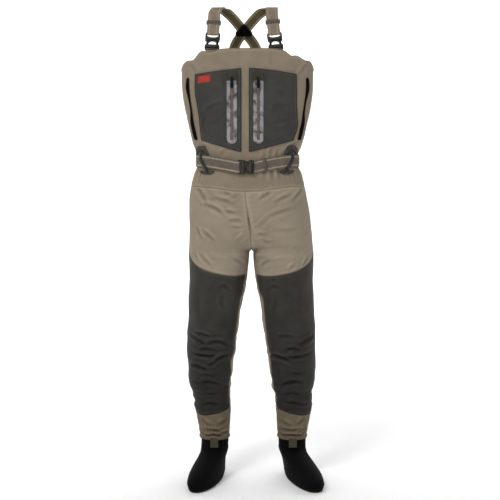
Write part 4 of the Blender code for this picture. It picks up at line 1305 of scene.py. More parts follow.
def add_shoulder(side, word):
    """A front strap with its buckle, slide and the anchor sewn behind the bib's top."""
    place = strap_frame(word)
    words = ("outer", "inner") if side > 0 else ("inner", "outer")
    node = f"shoulder_buckle_{word}"
    add_buckle(node, place, words, f"shoulder_{word}")
    back = place.to_3x3() @ Vector((0, 1, 0))
    start = place @ Vector((0, 0.0056, 0.046))
    end = place @ Vector((0, 0.0012, 0.093))
    top = Vector((TOP_X[word], TRUNK_Y + 0.004, SHOULDER_Z - 0.001))
    path = [start, place @ Vector((0, 0.0052, 0.056)), place @ Vector((0, 0.0018, 0.076))]
    path += smooth_path((end, end.lerp(top, 0.55) + Vector((0, -0.006, 0.006)), top), 4)
    normals = []
    for i in range(len(path)):
        share = smooth(i / (len(path) - 1))
        normals.append((-back).lerp(Vector((0, 0, 1)), share).normalized())
    name = f"strap_front_{word}"
    add_webbing(f"{name}_web", path, across_path(path, normals), "webbing", home(name),
                (name,))
    loop = [place @ Vector((0, y, z)) for y, z in LOOP_START]
    loop += [place @ Vector((0, y, z)) for y, z in ((-0.0018, 0.034), (-0.0011, 0.052),
                                                    (-0.0011, 0.066))]
    name = f"strap_loop_{word}"
    add_webbing(f"{name}_web", loop, across_path(loop, [-back] * len(loop)), "webbing",
                home(name), (name,))
    glide_z = 0.0600 if side < 0 else 0.0630
    add_tri_glide(f"tri_glide_{word}_slide", f"tri_glide_{word}", place @ shift(z=glide_z),
                  "slide_plastic")
    bar = place @ Vector((0, 0, -0.0345))
    turn = [Vector((0, -0.0036 * math.cos(angle), 0.0036 * math.sin(angle)))
            for angle in np.linspace(0, math.pi, 7)]
    anchor = [bar + Vector((0, -0.0036, -0.036))]
    anchor += [bar + step for step in turn]
    anchor += [bar + Vector((0, 0.0036, -0.036))]
    across = place.to_3x3() @ Vector((1, 0, 0))
    name = f"strap_anchor_{word}"
    add_webbing(f"{name}_web", anchor, [across] * len(anchor), "webbing", home(name),
                (name,))


def back_strap_path(side, word):
    layer = CROSS_FACE * STRAP_LAYER * side
    spread = 0.030 if side > 0 else 0.036
    sideways = Vector((side, 0, 0))
    top = Vector((TOP_X[word], TRUNK_Y - 0.004, SHOULDER_Z - 0.0024))
    up = Vector((0, 0, 1))
    back = Vector((0, 1, 0.1))
    spots = (
        (top, up),
        (top + Vector((-side * 0.001, 0.021, -0.0004)), up),
        (CROSS + sideways * 0.053 + CROSS_UP * 0.062 + layer, -CROSS_FACE),
        (CROSS + sideways * 0.032 + CROSS_UP * 0.041 + layer, -CROSS_FACE),
        (CROSS + layer, -CROSS_FACE),
        (CROSS - sideways * spread - CROSS_UP * 0.050 + layer, -CROSS_FACE),
        (Vector((TRUNK_X - side * 0.058, TRUNK_Y + 0.1155, BACK_TOP_Z + 0.030)), back),
        (Vector((TRUNK_X - side * 0.060, TRUNK_Y + 0.1165, BACK_TOP_Z - 0.020)), back),
    )
    steps = 4
    path = smooth_path([spot for spot, _ in spots], steps)
    normals = []
    for i in range(len(path)):
        first = min(i // steps, len(spots) - 2)
        share = i / steps - first
        normals.append(spots[first][1].lerp(spots[first + 1][1], share).normalized())
    return path, across_path(path, normals)


def add_back_straps():
    """The elastic straps, sewn together under a patch where they cross."""
    for side, word in SIDES:
        path, across = back_strap_path(side, word)
        name = f"strap_back_{word}"
        add_webbing(f"{name}_elastic", path, across, "elastic", "root", (name,),
                    0.032, 0.0012)
        box = [(-0.012, -0.017), (0.012, -0.017), (0.012, -0.003), (-0.012, -0.003),
               (-0.012, -0.017)]
        line = [Vector((TRUNK_X - side * 0.060 + x, TRUNK_Y + 0.1175, BACK_TOP_Z + z))
                for x, z in box]
        stitches(f"{name}_stitches", [(line, [Vector((0, 1, 0))] * len(line))], "dark_thread",
                 "root")
    outline = []
    for corner in range(3):
        middle = math.radians(90 + 120 * corner)
        for swing in (-50, -25, 0, 25, 50):
            angle = middle + math.radians(swing)
            spot = Vector((math.cos(middle), math.sin(middle), 0)) * 0.0180
            spot += Vector((math.cos(angle), math.sin(angle), 0)) * 0.010
            outline.append((spot.x * 1.05, spot.y * 0.85))
    across = Vector((1, 0, 0))
    place = Matrix((across, -CROSS_FACE, CROSS_UP)).transposed().to_4x4()
    place.translation = CROSS + CROSS_UP * 0.002 + CROSS_FACE * 0.0036
    behind = place.copy()
    behind.translation -= CROSS_FACE * 0.0072
    patch = plate_mesh([outline], 0.0009, 0.0004)
    add_piece("cross_patch_cloth", joined("cross_patch_cloth", [(patch, place), (patch, behind)]),
              "black_cloth", "root", ("cross_patch",))
    inner = [Vector((x * 0.86, -0.0010, z * 0.86)) for x, z in outline]
    inner.append(inner[0])
    line = [place @ point for point in inner]
    stitches("cross_patch_stitches", [(line, [CROSS_FACE] * len(line))], "dark_thread", "root")


# Belt

BELT_PROUD = 0.0050


def belt_z(x, y):
    """The belt sags towards the middle of the front."""
    if y > TRUNK_Y:
        return BELT_SIDE_Z
    share = min(1.0, abs(x - CHEST_X) / 0.150)
    return BELT_FRONT_Z + (BELT_SIDE_Z - BELT_FRONT_Z) * smooth(share)


def belt_point(angle):
    """A place on the belt's middle line; angle 0 is +X and a quarter turn on is the back."""
    half = read_table(TRUNK, 1, BELT_SIDE_Z) + BELT_PROUD + 0.0030
    depth = read_table(TRUNK, 2, BELT_FRONT_Z) + BELT_PROUD
    x = TRUNK_X + half * signed_power(math.cos(angle), 2 / BELT_POWER)
    y = TRUNK_Y + (depth + 0.0020) * signed_power(math.sin(angle), 2 / BELT_POWER)
    return Vector((x, y, belt_z(x, y)))


def belt_normal(angle):
    """The direction straight out from the belt's face."""
    ahead = belt_point(angle + 0.01) - belt_point(angle - 0.01)
    return Vector((ahead.y, -ahead.x, 0)).normalized()


def add_belt():
    """The wading belt, its buckle, the doubled end and the keeper."""
    face_y = belt_point(math.radians(-90)).y
    mouth = Vector((CHEST_X - 0.004, face_y - 0.0030, BELT_FRONT_Z))
    place = Matrix(((0, 0, -1), (0, 1, 0), (1, 0, 0))).to_4x4()
    place.translation = mouth
    add_buckle("belt_buckle", place @ Matrix.Diagonal((0.96, 1, 0.84, 1)),
               ("upper", "lower"), "belt_buckle")
    forward = Vector((0, -1, 0))
    path = [mouth + Vector((0.0305, 0.0008, 0)), mouth + Vector((0.0330, 0.0031, 0)),
            mouth + Vector((0.0375, 0.0036, 0))]
    angles = [math.radians(angle) for angle in np.linspace(-80, 252.5, 49)]
    path += [belt_point(angle) for angle in angles]
    normals = [forward] * 3 + [belt_normal(angle) for angle in angles]
    add_webbing("belt_web", path, across_path(path, normals), "belt_web", "root",
                ("belt_webbing",))
    fold = [place @ Vector((0, y, z * 0.84)) for y, z in LOOP_START]
    tail = [math.radians(angle) for angle in (256, 253, 250.5, 248)]
    fold += [belt_point(angle) + belt_normal(angle) * 0.0030 for angle in tail]
    normals = [forward] * len(LOOP_START) + [belt_normal(angle) for angle in tail]
    add_webbing("belt_fold_web", fold, across_path(fold, normals), "belt_web",
                home("belt_fold"), ("belt_fold",))
    angle = math.radians(-76)
    along = (belt_point(angle - 0.03) - belt_point(angle + 0.03)).normalized()
    inward = -belt_normal(angle)
    across = inward.cross(along).normalized()
    keeper = Matrix((across, along.cross(across), along)).transposed().to_4x4()
    keeper.translation = belt_point(angle) + inward * 0.0004
    add_keeper("belt_keeper_band", "belt_keeper", keeper)


def add_belt_loop(name, node, angle, lean):
    """A curved loop over the belt, and the two patches that hold its ends."""
    middle = belt_point(angle)
    path = []
    normals = []
    for rise, swing, over in ((0.036, 0.5, 0.0030), (0.029, 0.62, 0.0042), (0.0225, 0.9, 0.0078),
                              (0.012, 1.15, 0.0092), (0.0, 0.7, 0.0096), (-0.012, -0.2, 0.0092),
                              (-0.0225, -1.0, 0.0074), (-0.029, -1.25, 0.0040),
                              (-0.035, -1.3, 0.0028)):
        x = middle.x + lean * swing * 0.0075
        z = middle.z + rise
        spot = chest_point(x, z, over)
        if abs(rise) < 0.024:
            belt = min((belt_point(angle + step) for step in np.linspace(-0.12, 0.12, 25)),
                       key=lambda place: abs(place.x - x))
            spot = Vector((x, belt.y, z)) + belt_normal(angle) * (over - 0.0062)
        path.append(spot)
        normals.append(belt_normal(angle))
    add_webbing(f"{name}_web", path, across_path(path, normals), "loop_web", "root",
                (node,), 0.012, 0.0016)
    top = middle + Vector((lean * 0.004, 0, 0.038))
    arch = ((-0.021, -0.018), (-0.015, -0.020), (-0.012, -0.012), (-0.006, -0.005),
            (0.002, -0.005), (0.009, -0.016), (0.016, -0.030), (0.027, -0.029),
            (0.018, -0.009), (0.008, 0.009), (-0.013, 0.009), (-0.020, -0.001))
    base = ((-0.024, 0.005), (0.024, 0.005), (0.019, -0.002), (0.008, -0.006), (-0.012, -0.006),
            (-0.022, -0.001))
    low = middle + Vector((-lean * 0.010, 0, -0.034))
    for word, centre, outline, mirror in (("top", top, arch, -lean), ("low", low, base, lean)):
        shape = bmesh.new()
        flat = rounded([(mirror * x, z) for x, z in outline], 0.0018)
        shape.faces.new([shape.verts.new((x, 0, z)) for x, z in flat])
        bmesh.ops.triangulate(shape, faces=shape.faces)
        bmesh.ops.subdivide_edges(shape, edges=shape.edges, cuts=2, use_grid_fill=True)
        for vert in shape.verts:
            vert.co = chest_point(centre.x + vert.co.x, centre.z + vert.co.z, 0.0022)
        bmesh.ops.recalc_face_normals(shape, faces=shape.faces)
        total = sum((face.normal.dot(Vector((0, -1, 0))) for face in shape.faces), 0.0)
        if total < 0:
            bmesh.ops.reverse_faces(shape, faces=shape.faces)
        mesh = bpy.data.meshes.new(f"{name}_{word}_patch")
        shape.to_mesh(mesh)
        shape.free()
        made = add_piece(f"{name}_{word}_patch", mesh, "patch_cloth", "root")
        thicken(made, 0.0012, 1.0)


def add_back_loop():
    middle = belt_point(math.radians(90))
    path = []
    for rise, over in ((0.036, 0.0014), (0.028, 0.0022), (0.0225, 0.0072), (0.010, 0.0086),
                       (-0.010, 0.0086), (-0.0225, 0.0072), (-0.028, 0.0022), (-0.036, 0.0014)):
        z = middle.z + rise
        spot = trunk_point(1, 1, z)
        if abs(rise) < 0.024:
            spot.y = max(spot.y, middle.y - 0.004)
        path.append(Vector((middle.x, spot.y + over, z)))
    add_webbing("belt_loop_back_web", path, [Vector((1, 0, 0))] * len(path), "loop_web", "root",
                ("belt_loop_back",), 0.014, 0.0016)


for side_sign, side_word in SIDES:
    add_shoulder(side_sign, side_word)
    add_belt_loop(f"belt_loop_{side_word}", f"belt_loop_{side_word}",
                  math.radians(-90 + side_sign * (48 if side_sign > 0 else 52)), side_sign)
add_back_straps()
add_belt()
add_back_loop()


# Chest pockets and zips

POCKET_INNER = 0.0125
ZIP_X = 0.040
ZIP_TOP_Z = 1.266
ZIP_LOW_Z = 1.058
POCKET_PROUD = 0.0026
FILM_PROUD = 0.0046
FILM_HALF = 0.0155


# Reach of a chest pocket's outer edge: height, on the right, on the left
POCKET_EDGE = (
    (1.055, 0.1300, 0.1430),
    (1.078, 0.1345, 0.1500),
    (1.112, 0.1382, 0.1605),
    (1.140, 0.1405, 0.1590),
    (1.180, 0.1470, 0.1570),
    (1.210, 0.1520, 0.1568),
    (1.270, 0.1520, 0.1555),
)


def pocket_outer(side, z):
    return read_table(POCKET_EDGE, 2 if side > 0 else 1, z)


# Folds in the pocket panels: the two ends, how far the middle bows up, the depth and half width
POCKET_FOLDS = (
    ((-0.160, 1.140), (-0.072, 1.186), 0.010, 0.0036, 0.0060),
    ((-0.150, 1.086), (-0.142, 1.150), 0.004, 0.0024, 0.0060),
    ((-0.136, 1.240), (-0.078, 1.214), -0.004, 0.0016, 0.0080),
    ((-0.130, 1.120), (-0.082, 1.150), -0.006, 0.0018, 0.0070),
    ((0.052, 1.160), (0.110, 1.176), 0.006, 0.0022, 0.0075),
    ((0.060, 1.100), (0.122, 1.120), -0.006, 0.0020, 0.0070),
    ((0.066, 1.226), (0.100, 1.196), 0.004, 0.0016, 0.0080),
)


def fold_lift(x, z):
    """How far the folds move a place on the pockets out, negative in their valleys."""
    total = 0.0
    for start, end, bow, depth, half in POCKET_FOLDS:
        ahead = (end[0] - start[0], end[1] - start[1])
        length = math.hypot(*ahead)
        along = ((x - start[0]) * ahead[0] + (z - start[1]) * ahead[1]) / length ** 2
        if 0 < along < 1:
            off = ((z - start[1]) * ahead[0] - (x - start[0]) * ahead[1]) / length
            off -= 4 * bow * along * (1 - along)
            shape = 0.8 * bell(off - 1.9 * half, 1.5 * half)
            shape -= bell(off, half)
            total += depth * math.sin(math.pi * along) * shape
    return total


def pocket_place(side, u, v, proud=0.0):
    """A place on a chest pocket, u from the middle outwards and v upwards."""
    low = 1.034 + 0.034 * u ** 1.1
    high = 1.286 - 0.017 * u ** (1.3 if side > 0 else 1.0)
    z = low + v * (high - low)
    reach = POCKET_INNER + u * (pocket_outer(side, z) - POCKET_INNER)
    edge = min(u, 1 - u, v, 1 - v)
    x = CHEST_X + side * reach
    billow = 0.0011 * smooth(edge / 0.16)
    ripple = 0.0026 * noise.noise(Vector((x * 16, z * 11, side * 4))) * smooth(edge / 0.2)
    ripple += 0.0011 * noise.noise(Vector((x * 34, z * 26, 9 + side))) * smooth(edge / 0.1)
    near_zip = smooth((abs(reach - ZIP_X) - 0.016) / 0.02)
    ripple += fold_lift(x, z) * smooth(edge / 0.08)
    return chest_point(x, z, POCKET_PROUD + billow * near_zip + ripple * near_zip + proud)


def add_pocket(side, word):
    """The pocket panel with its edge piping and the row of stitches inside it."""
    rows = [[pocket_place(side, u, v) for u in np.linspace(0, 1, 33)]
            for v in np.linspace(0, 1, 57)]
    name = f"chest_pocket_{word}"
    made = add_piece(f"{name}_cloth", grid_mesh(name, rows, flip=side < 0), "grey_cloth", "root",
                     (name,))
    thicken(made, 0.0014)
    edge = [pocket_place(side, u, 0, -0.0004) for u in np.linspace(0, 1, 25)]
    edge += [pocket_place(side, 1, v, -0.0004) for v in np.linspace(0.03, 1, 25)]
    edge += [pocket_place(side, u, 1, -0.0004) for u in np.linspace(0.97, 0, 25)]
    edge += [pocket_place(side, 0, v, -0.0004) for v in np.linspace(0.97, 0.03, 25)]
    tube(f"{name}_piping", edge, 0.0011, "dark_tape", "root", True)
    inset = 0.030
    rising = np.linspace(inset, 1 - inset, 25)
    falling = np.linspace(1 - inset, inset, 25)
    walk = [(u, inset) for u in rising] + [(1 - inset, v) for v in rising]
    walk += [(u, 1 - inset) for u in falling] + [(inset, v) for v in falling]
    places = [pocket_place(side, u, v, 0.0001) for u, v in walk]
    normals = [Vector(((place.x - TRUNK_X) * 2, -1, 0)).normalized() for place in places]
    stitches(f"{name}_stitches", [(places, normals)], "dark_thread", "root")
    rows = [[chest_point(CHEST_X + side * reach, z, -0.0042)
             for reach in np.linspace(0.016, 0.121, 9)] for z in np.linspace(1.075, 1.270, 9)]
    bag = add_piece(f"pocket_bag_{word}_mesh", grid_mesh("bag", rows, flip=side < 0),
                    "bag_cloth", "root", (f"pocket_bag_{word}",))
    thicken(bag, 0.0024)


def film_half(z):
    """Half width of the welded strip, round at its lower end."""
    rise = min(1.0, max(0.0, (z - ZIP_LOW_Z) / FILM_HALF))
    return FILM_HALF * math.sqrt(max(0.0, 1 - (1 - rise) ** 2))


def add_zip(side, word):
    """The welded strip over the zip, its coil, the slider, the pull and the garage."""
    centre = CHEST_X + side * ZIP_X
    rows = []
    steps = [ZIP_LOW_Z + FILM_HALF * (1 - math.cos(angle)) for angle in np.linspace(0, 1.57, 8)]
    steps += list(np.linspace(ZIP_LOW_Z + FILM_HALF + 0.003, ZIP_TOP_Z + 0.001, 80))
    for z in steps:
        half = max(film_half(z), 0.0004)
        line = []
        for u in np.linspace(-1, 1, 21):
            x = centre + u * half
            ridge = 0.0007 * bell(abs(x - centre) - 0.0050, 0.0014)
            edge = -0.0006 * smooth((abs(u) - 0.82) / 0.18)
            patchy = noise.noise(Vector((x * 120, z * 48, 3 + side))) * 0.0009
            patchy += noise.noise(Vector((x * 260, z * 150, 7 + side))) * 0.0003
            line.append(chest_point(x, z, FILM_PROUD + ridge + edge + patchy))
        rows.append(line)
    name = f"zip_strip_{word}"
    made = add_piece(f"{name}_film", grid_mesh(name, rows), "zip_film", "root",
                     (name,))
    thicken(made, 0.0011)
    rows = [[chest_point(centre + u * 0.0044, z, FILM_PROUD + 0.0006)
             for u in (-1, -0.4, 0.4, 1)]
            for z in np.linspace(ZIP_LOW_Z + 0.012, ZIP_TOP_Z - 0.006, 60)]
    uv = np.array([[((u + 1) / 2, i * 0.0035) for u in (-1, -0.4, 0.4, 1)] for i in range(60)])
    tape = add_piece(f"zip_tape_{word}", grid_mesh("tape", rows, uv=uv), "zip_tape", "root")
    thicken(tape, 0.0004)
    place = shift(*chest_point(centre, ZIP_TOP_Z - 0.012, FILM_PROUD))
    body = block_mesh((-0.0042, -0.0042, -0.0062), (0.0042, -0.0006, 0.0062), 0.0012)
    bridge = block_mesh((-0.0014, -0.0062, -0.0020), (0.0014, -0.0030, 0.0052), 0.0006)
    name = f"zip_slider_{word}"
    add_moulding(f"{name}_metal", [(body, place), (bridge, place)], "black_plastic", home(name),
                 (name,))
    hinge = place @ shift(0, -0.0070, 0.003)
    eye = plate_mesh([rounded(((0.0040, -0.0060), (0.0040, 0.0012), (-0.0040, 0.0012),
                               (-0.0040, -0.0060)), 0.0026),
                      rounded(((0.0018, -0.0034), (0.0018, -0.0008), (-0.0018, -0.0008),
                               (-0.0018, -0.0034)), 0.0008)], 0.0009, 0.0004)
    drop = plate_mesh([rounded(((0.0030, -0.0050), (0.0051, -0.0120), (0.0051, -0.0265),
                                (0.0028, -0.0318), (-0.0028, -0.0318), (-0.0051, -0.0265),
                                (-0.0051, -0.0120), (-0.0030, -0.0050)), 0.0016)],
                      0.0011, 0.0008)
    ribs = [(block_mesh((-0.0030, -0.0016, z - 0.0007), (0.0030, 0.0016, z + 0.0007), 0.0005),
             hinge) for z in (-0.014, -0.018, -0.022, -0.026)]
    name = f"zip_pull_{word}"
    add_moulding(f"{name}_tab", [(eye, hinge), (drop, hinge)] + ribs, "pull_rubber", home(name),
                 (name,))
    rows = []
    for v in np.linspace(0, 1, 15):
        drop = 0.0010 + 0.0265 * v
        half = 0.0172 * math.sqrt(max(0.004, 1 - (1 - min(1.0, drop / 0.0172)) ** 2))
        rows.append([])
        for u in np.linspace(-1, 1, 19):
            rim = bell(abs(u) - 0.86, 0.10) if v > 0.12 else 0.6
            slit = smooth(1 - abs(u * half) / 0.0034) * smooth((v - 0.25) / 0.1)
            place = chest_point(centre + u * half, ZIP_TOP_Z + 0.0105 - drop - 0.0016 * v * u * u,
                                FILM_PROUD + 0.0014 + 0.0010 * rim - 0.0004 * slit)
            rows[-1].append(place)
    garage = add_piece(f"zip_garage_{word}", grid_mesh("garage", rows, flip=True), "garage_cloth",
                       "root")
    thicken(garage, 0.0008)


def add_patch():
    """A plain woven patch on the right chest pocket, with no mark on it."""
    rows = [[pocket_place(-1, u, v, 0.0006) for u in np.linspace(0.66, 0.93, 9)]
            for v in np.linspace(0.865, 0.965, 7)]
    patch = add_piece("plain_patch", grid_mesh("patch", rows, flip=True), "patch_red", "root")
    thicken(patch, 0.0009)


# Hand-warmer openings

def chest_surface():
    """The bib's worn front as a tree for casting rays."""
    verts = []
    faces = []
    for side, _ in SIDES:
        points = fine[side][YOKE_ROW * 2:, :SEAM_COLUMN * 2 + 5]
        count_rows, count = points.shape[:2]
        first = len(verts)
        verts += [tuple(place) for place in points.reshape(-1, 3)]
        for row in range(count_rows - 1):
            for column in range(count - 1):
                corner = first + row * count + column
                faces.append((corner, corner + 1, corner + count + 1, corner + count))
    return BVHTree.FromPolygons(verts, faces)


CHEST = chest_surface()


def on_chest(x, z, proud):
    """A place on the worn front of the bib, standing proud of its cloth."""
    spot, normal, _, _ = CHEST.ray_cast(Vector((x, -1, z)), Vector((0, 1, 0)))
    if spot is None:
        return chest_point(x, z, proud)
    if normal.y > 0:
        normal = -normal
    return spot + normal * proud


# A side pocket's opening: share of its height, place across the chest, half width
SLIT = (
    (0.00, 0.908, 0.0052),
    (0.15, 0.910, 0.0056),
    (0.30, 0.908, 0.0048),
    (0.45, 0.887, 0.0032),
    (0.60, 0.884, 0.0030),
    (0.72, 0.893, 0.0042),
    (0.83, 0.901, 0.0054),
    (0.95, 0.893, 0.0044),
    (1.00, 0.890, 0.0040),
)


def slit_place(side, v, u, proud):
    """A place in a side pocket's opening: v runs up it and u across it."""
    z = 1.068 + v * 0.194
    ends = smooth(v / 0.025) * smooth((1 - v) / 0.03)
    shape = read_table(SLIT, 2, v) * ends
    half = read_table(TRUNK, 1, z)
    return on_chest(TRUNK_X + side * (half * read_table(SLIT, 1, v) + u * shape), z, proud)


def add_handwarmer(side, word):
    """A black sheet in the open side pocket, painted shade for the shadowed inside of the opening,
    and the taped lips on both sides of it.
    """
    rows = [[slit_place(side, v, u, 0.0012 - 0.0003 * (1 - abs(u))) for u in (-1, -0.5, 0, 0.5, 1)]
            for v in np.linspace(0, 1, 60)]
    name = f"handwarmer_lining_{word}"
    made = add_piece(f"{name}_cloth", grid_mesh(name, rows, flip=side < 0), "black_cloth", "root",
                     (name,))
    thicken(made, 0.0006)
    for hand, key in ((-1, "inner"), (1, "outer")):
        path = [slit_place(side, v, hand * 1.22, 0.0006) for v in np.linspace(0, 1, 50)]
        tube(f"handwarmer_{key}_lip_{word}", path, 0.0008, "tape", "root")
    lines = []
    for hand in (-1, 1):
        places = [slit_place(side, v, hand * 1.8, 0.0004) for v in np.linspace(0.06, 0.95, 40)]
        normals = [Vector((side * 1.2, -1, 0)).normalized()] * len(places)
        lines.append((places, normals))
    stitches(f"handwarmer_stitches_{word}", lines, "thread", "root")


# Booties

TOE_OUT = {"left": math.radians(16), "right": math.radians(14)}
STEP_OUT = {"left": 0.017, "right": 0.010}
SOLE_THICK = 0.0035

# Bootie sections: height, half width, heel reach, toe reach
FOOT = (
    (0.000, 0.046, 0.063, 0.216),
    (0.012, 0.050, 0.066, 0.223),
    (0.030, 0.051, 0.067, 0.218),
    (0.050, 0.047, 0.065, 0.184),
    (0.072, 0.0445, 0.060, 0.118),
    (0.095, 0.0435, 0.055, 0.052),
    (0.125, 0.0435, 0.048, 0.043),
    (0.170, 0.041, 0.046, 0.042),
    (0.204, 0.044, 0.048, 0.044),
)


def foot_ring(side, word, z, count=24, inset=0.0):
    """A closed outline of the foot at one height, heel to toe and back."""
    half = read_table(FOOT, 1, z) - inset
    heel = read_table(FOOT, 2, z) - inset
    toe = read_table(FOOT, 3, z) - inset
    ball = smooth((toe - 0.05) / 0.12)
    turn = Matrix.Rotation(side * TOE_OUT[word] * smooth((0.112 - z) / 0.060), 3, "Z")
    ring = []
    for i in range(count):
        angle = 2 * math.pi * i / count
        forward = -math.sin(angle)
        reach = toe if forward > 0 else heel
        along = reach * signed_power(forward, 2 / FOOT_POWER)
        width = half * (1 + ball * (0.04 * smooth(along / 0.12)
                                    - 0.30 * smooth(0.5 - along / 0.12)))
        across = width * signed_power(math.cos(angle), 2 / FOOT_POWER)
        bend = -side * 0.008 * ball * smooth(along / 0.2)
        spot = turn @ Vector((across + bend, -along, 0))
        spot.x += side * STEP_OUT[word] * smooth((0.085 - z) / 0.070)
        ring.append(Vector((leg_middle(side, 0.13), TRUNK_Y, z)) + spot)
    return ring


def add_bootie(side, word):
    """The neoprene sock with its seams, and the sole glued under it."""
    levels = [0.204, 0.187, 0.170, 0.155, 0.140, 0.125, 0.112, 0.100, 0.090, 0.080, 0.070, 0.060,
              0.050, 0.041, 0.032, 0.024, 0.017, 0.011, 0.007, SOLE_THICK + 0.0004]
    count = 48
    rows = []
    for z in levels:
        ring = foot_ring(side, word, z, count)
        middle = sum(ring, Vector()) / count
        puff = 0.0012 * smooth((z - 0.04) / 0.03)
        for i, spot in enumerate(ring):
            out = (spot - middle).normalized()
            crumple = noise.noise(Vector((spot.x * 22, spot.y * 22, z * 60))) * puff
            crumple -= 0.0012 * bell(z - 0.112, 0.007) * smooth(-out.y)
            ring[i] = spot + out * crumple
        rows.append(ring)
    name = f"bootie_{word}"
    low = rows[-1]
    middle = sum(low, Vector()) / count
    for share in (0.7, 0.35, 0.02):
        rows.append([middle + (spot - middle) * share for spot in low])
    mesh = grid_mesh(name, rows, True)
    made = add_piece(f"{name}_neoprene", mesh, "neoprene", "root", (name,))
    shape = bmesh.new()
    shape.from_mesh(made.data)
    bmesh.ops.recalc_face_normals(shape, faces=shape.faces)
    shape.to_mesh(made.data)
    shape.free()
    thicken(made, 0.0034)
    toe = count * 3 // 4
    instep = [rows[i][toe] + Vector((0, -0.0002, 0.0003)) for i in range(3, 17)]
    tube(f"{name}_instep_seam", instep, 0.0009, "neoprene", "root")
    heel = [rows[i][count // 4] + Vector((0, 0.0003, 0)) for i in range(2, 18)]
    tube(f"{name}_heel_seam", heel, 0.0009, "neoprene", "root")
    side_ring = foot_ring(side, word, 0.017, 60, -0.0002)
    tube(f"{name}_sole_seam", side_ring, 0.0009, "neoprene", "root", True)
    lower = foot_ring(side, word, 0.0, 60, -0.0004)
    rows = []
    centre = sum(lower, Vector()) / len(lower)
    for inset, z in ((0.03, 0.0), (0.0012, 0.0), (0.0004, 0.0003), (0.0, 0.0009),
                     (0.0, 0.0028), (0.0008, SOLE_THICK), (0.03, SOLE_THICK)):
        ring = foot_ring(side, word, 0.0, 60, inset - 0.0008)
        rows.append([Vector((spot.x, spot.y, z)) for spot in ring])
    for index, z in ((0, 0.0), (-1, SOLE_THICK)):
        point = [Vector((centre.x, centre.y, z))] * 60
        rows.insert(0, point) if index == 0 else rows.append(point)
    mesh = grid_mesh(f"bootie_sole_{word}", rows, True)
    shape = bmesh.new()
    shape.from_mesh(mesh)
    bmesh.ops.remove_doubles(shape, verts=shape.verts, dist=0.00001)
    bmesh.ops.recalc_face_normals(shape, faces=shape.faces)
    shape.to_mesh(mesh)
    shape.free()
    sole = add_piece(f"bootie_sole_{word}_felt", mesh, "sole_cloth", "root",
                     (f"bootie_sole_{word}",))
    sole.data.set_sharp_from_angle(angle=math.radians(45))


TAB_LEAN = math.radians(-34)


def add_hook_tab(side, word):
    """The webbing tab at the front of the cuff with a box of stitches."""
    top = leg_point(side, -0.5, HEM_Z + 0.006) + Vector((0, -0.0046, 0))
    place = Matrix.Translation(top) @ Matrix.Rotation(TAB_LEAN, 4, "X")
    path = [place @ Vector((0, 0, z)) for z in (-0.002, -0.011, -0.020, -0.030)]
    name = f"hook_tab_{word}"
    across = [Vector((1, 0, 0))] * len(path)
    add_webbing(f"{name}_web", path, across, "tab_web", home(name), (name,), 0.025,
                0.0016)
    out = place.to_3x3() @ Vector((0, -1, 0))
    corners = [(-0.0095, -0.0265), (0.0095, -0.0265), (0.0095, -0.0200), (-0.0095, -0.0200),
               (-0.0095, -0.0265)]
    places = []
    for (x0, z0), (x1, z1) in zip(corners, corners[1:]):
        places += [place @ Vector((x0 + (x1 - x0) * k, -0.0008, z0 + (z1 - z0) * k))
                   for k in (0, 0.5)]
    places.append(places[0])
    stitches(f"{name}_stitches", [(places, [out] * len(places))], "dark_thread", home(name))


# Seams on the garment

def walk_row(side, row, low=0, high=COLUMNS * 2):
    """Places and normals along one fine row of the surface."""
    return ([Vector(fine[side][row, column]) for column in range(low, high + 1)],
            [Vector(fine_normals[side][row, column]) for column in range(low, high + 1)])


def walk_column(side, column, low, high):
    return ([Vector(fine[side][row, column]) for row in range(low, high + 1)],
            [Vector(fine_normals[side][row, column]) for row in range(low, high + 1)])


def lifted(line, height):
    return [place + out * height for place, out in zip(*line)]


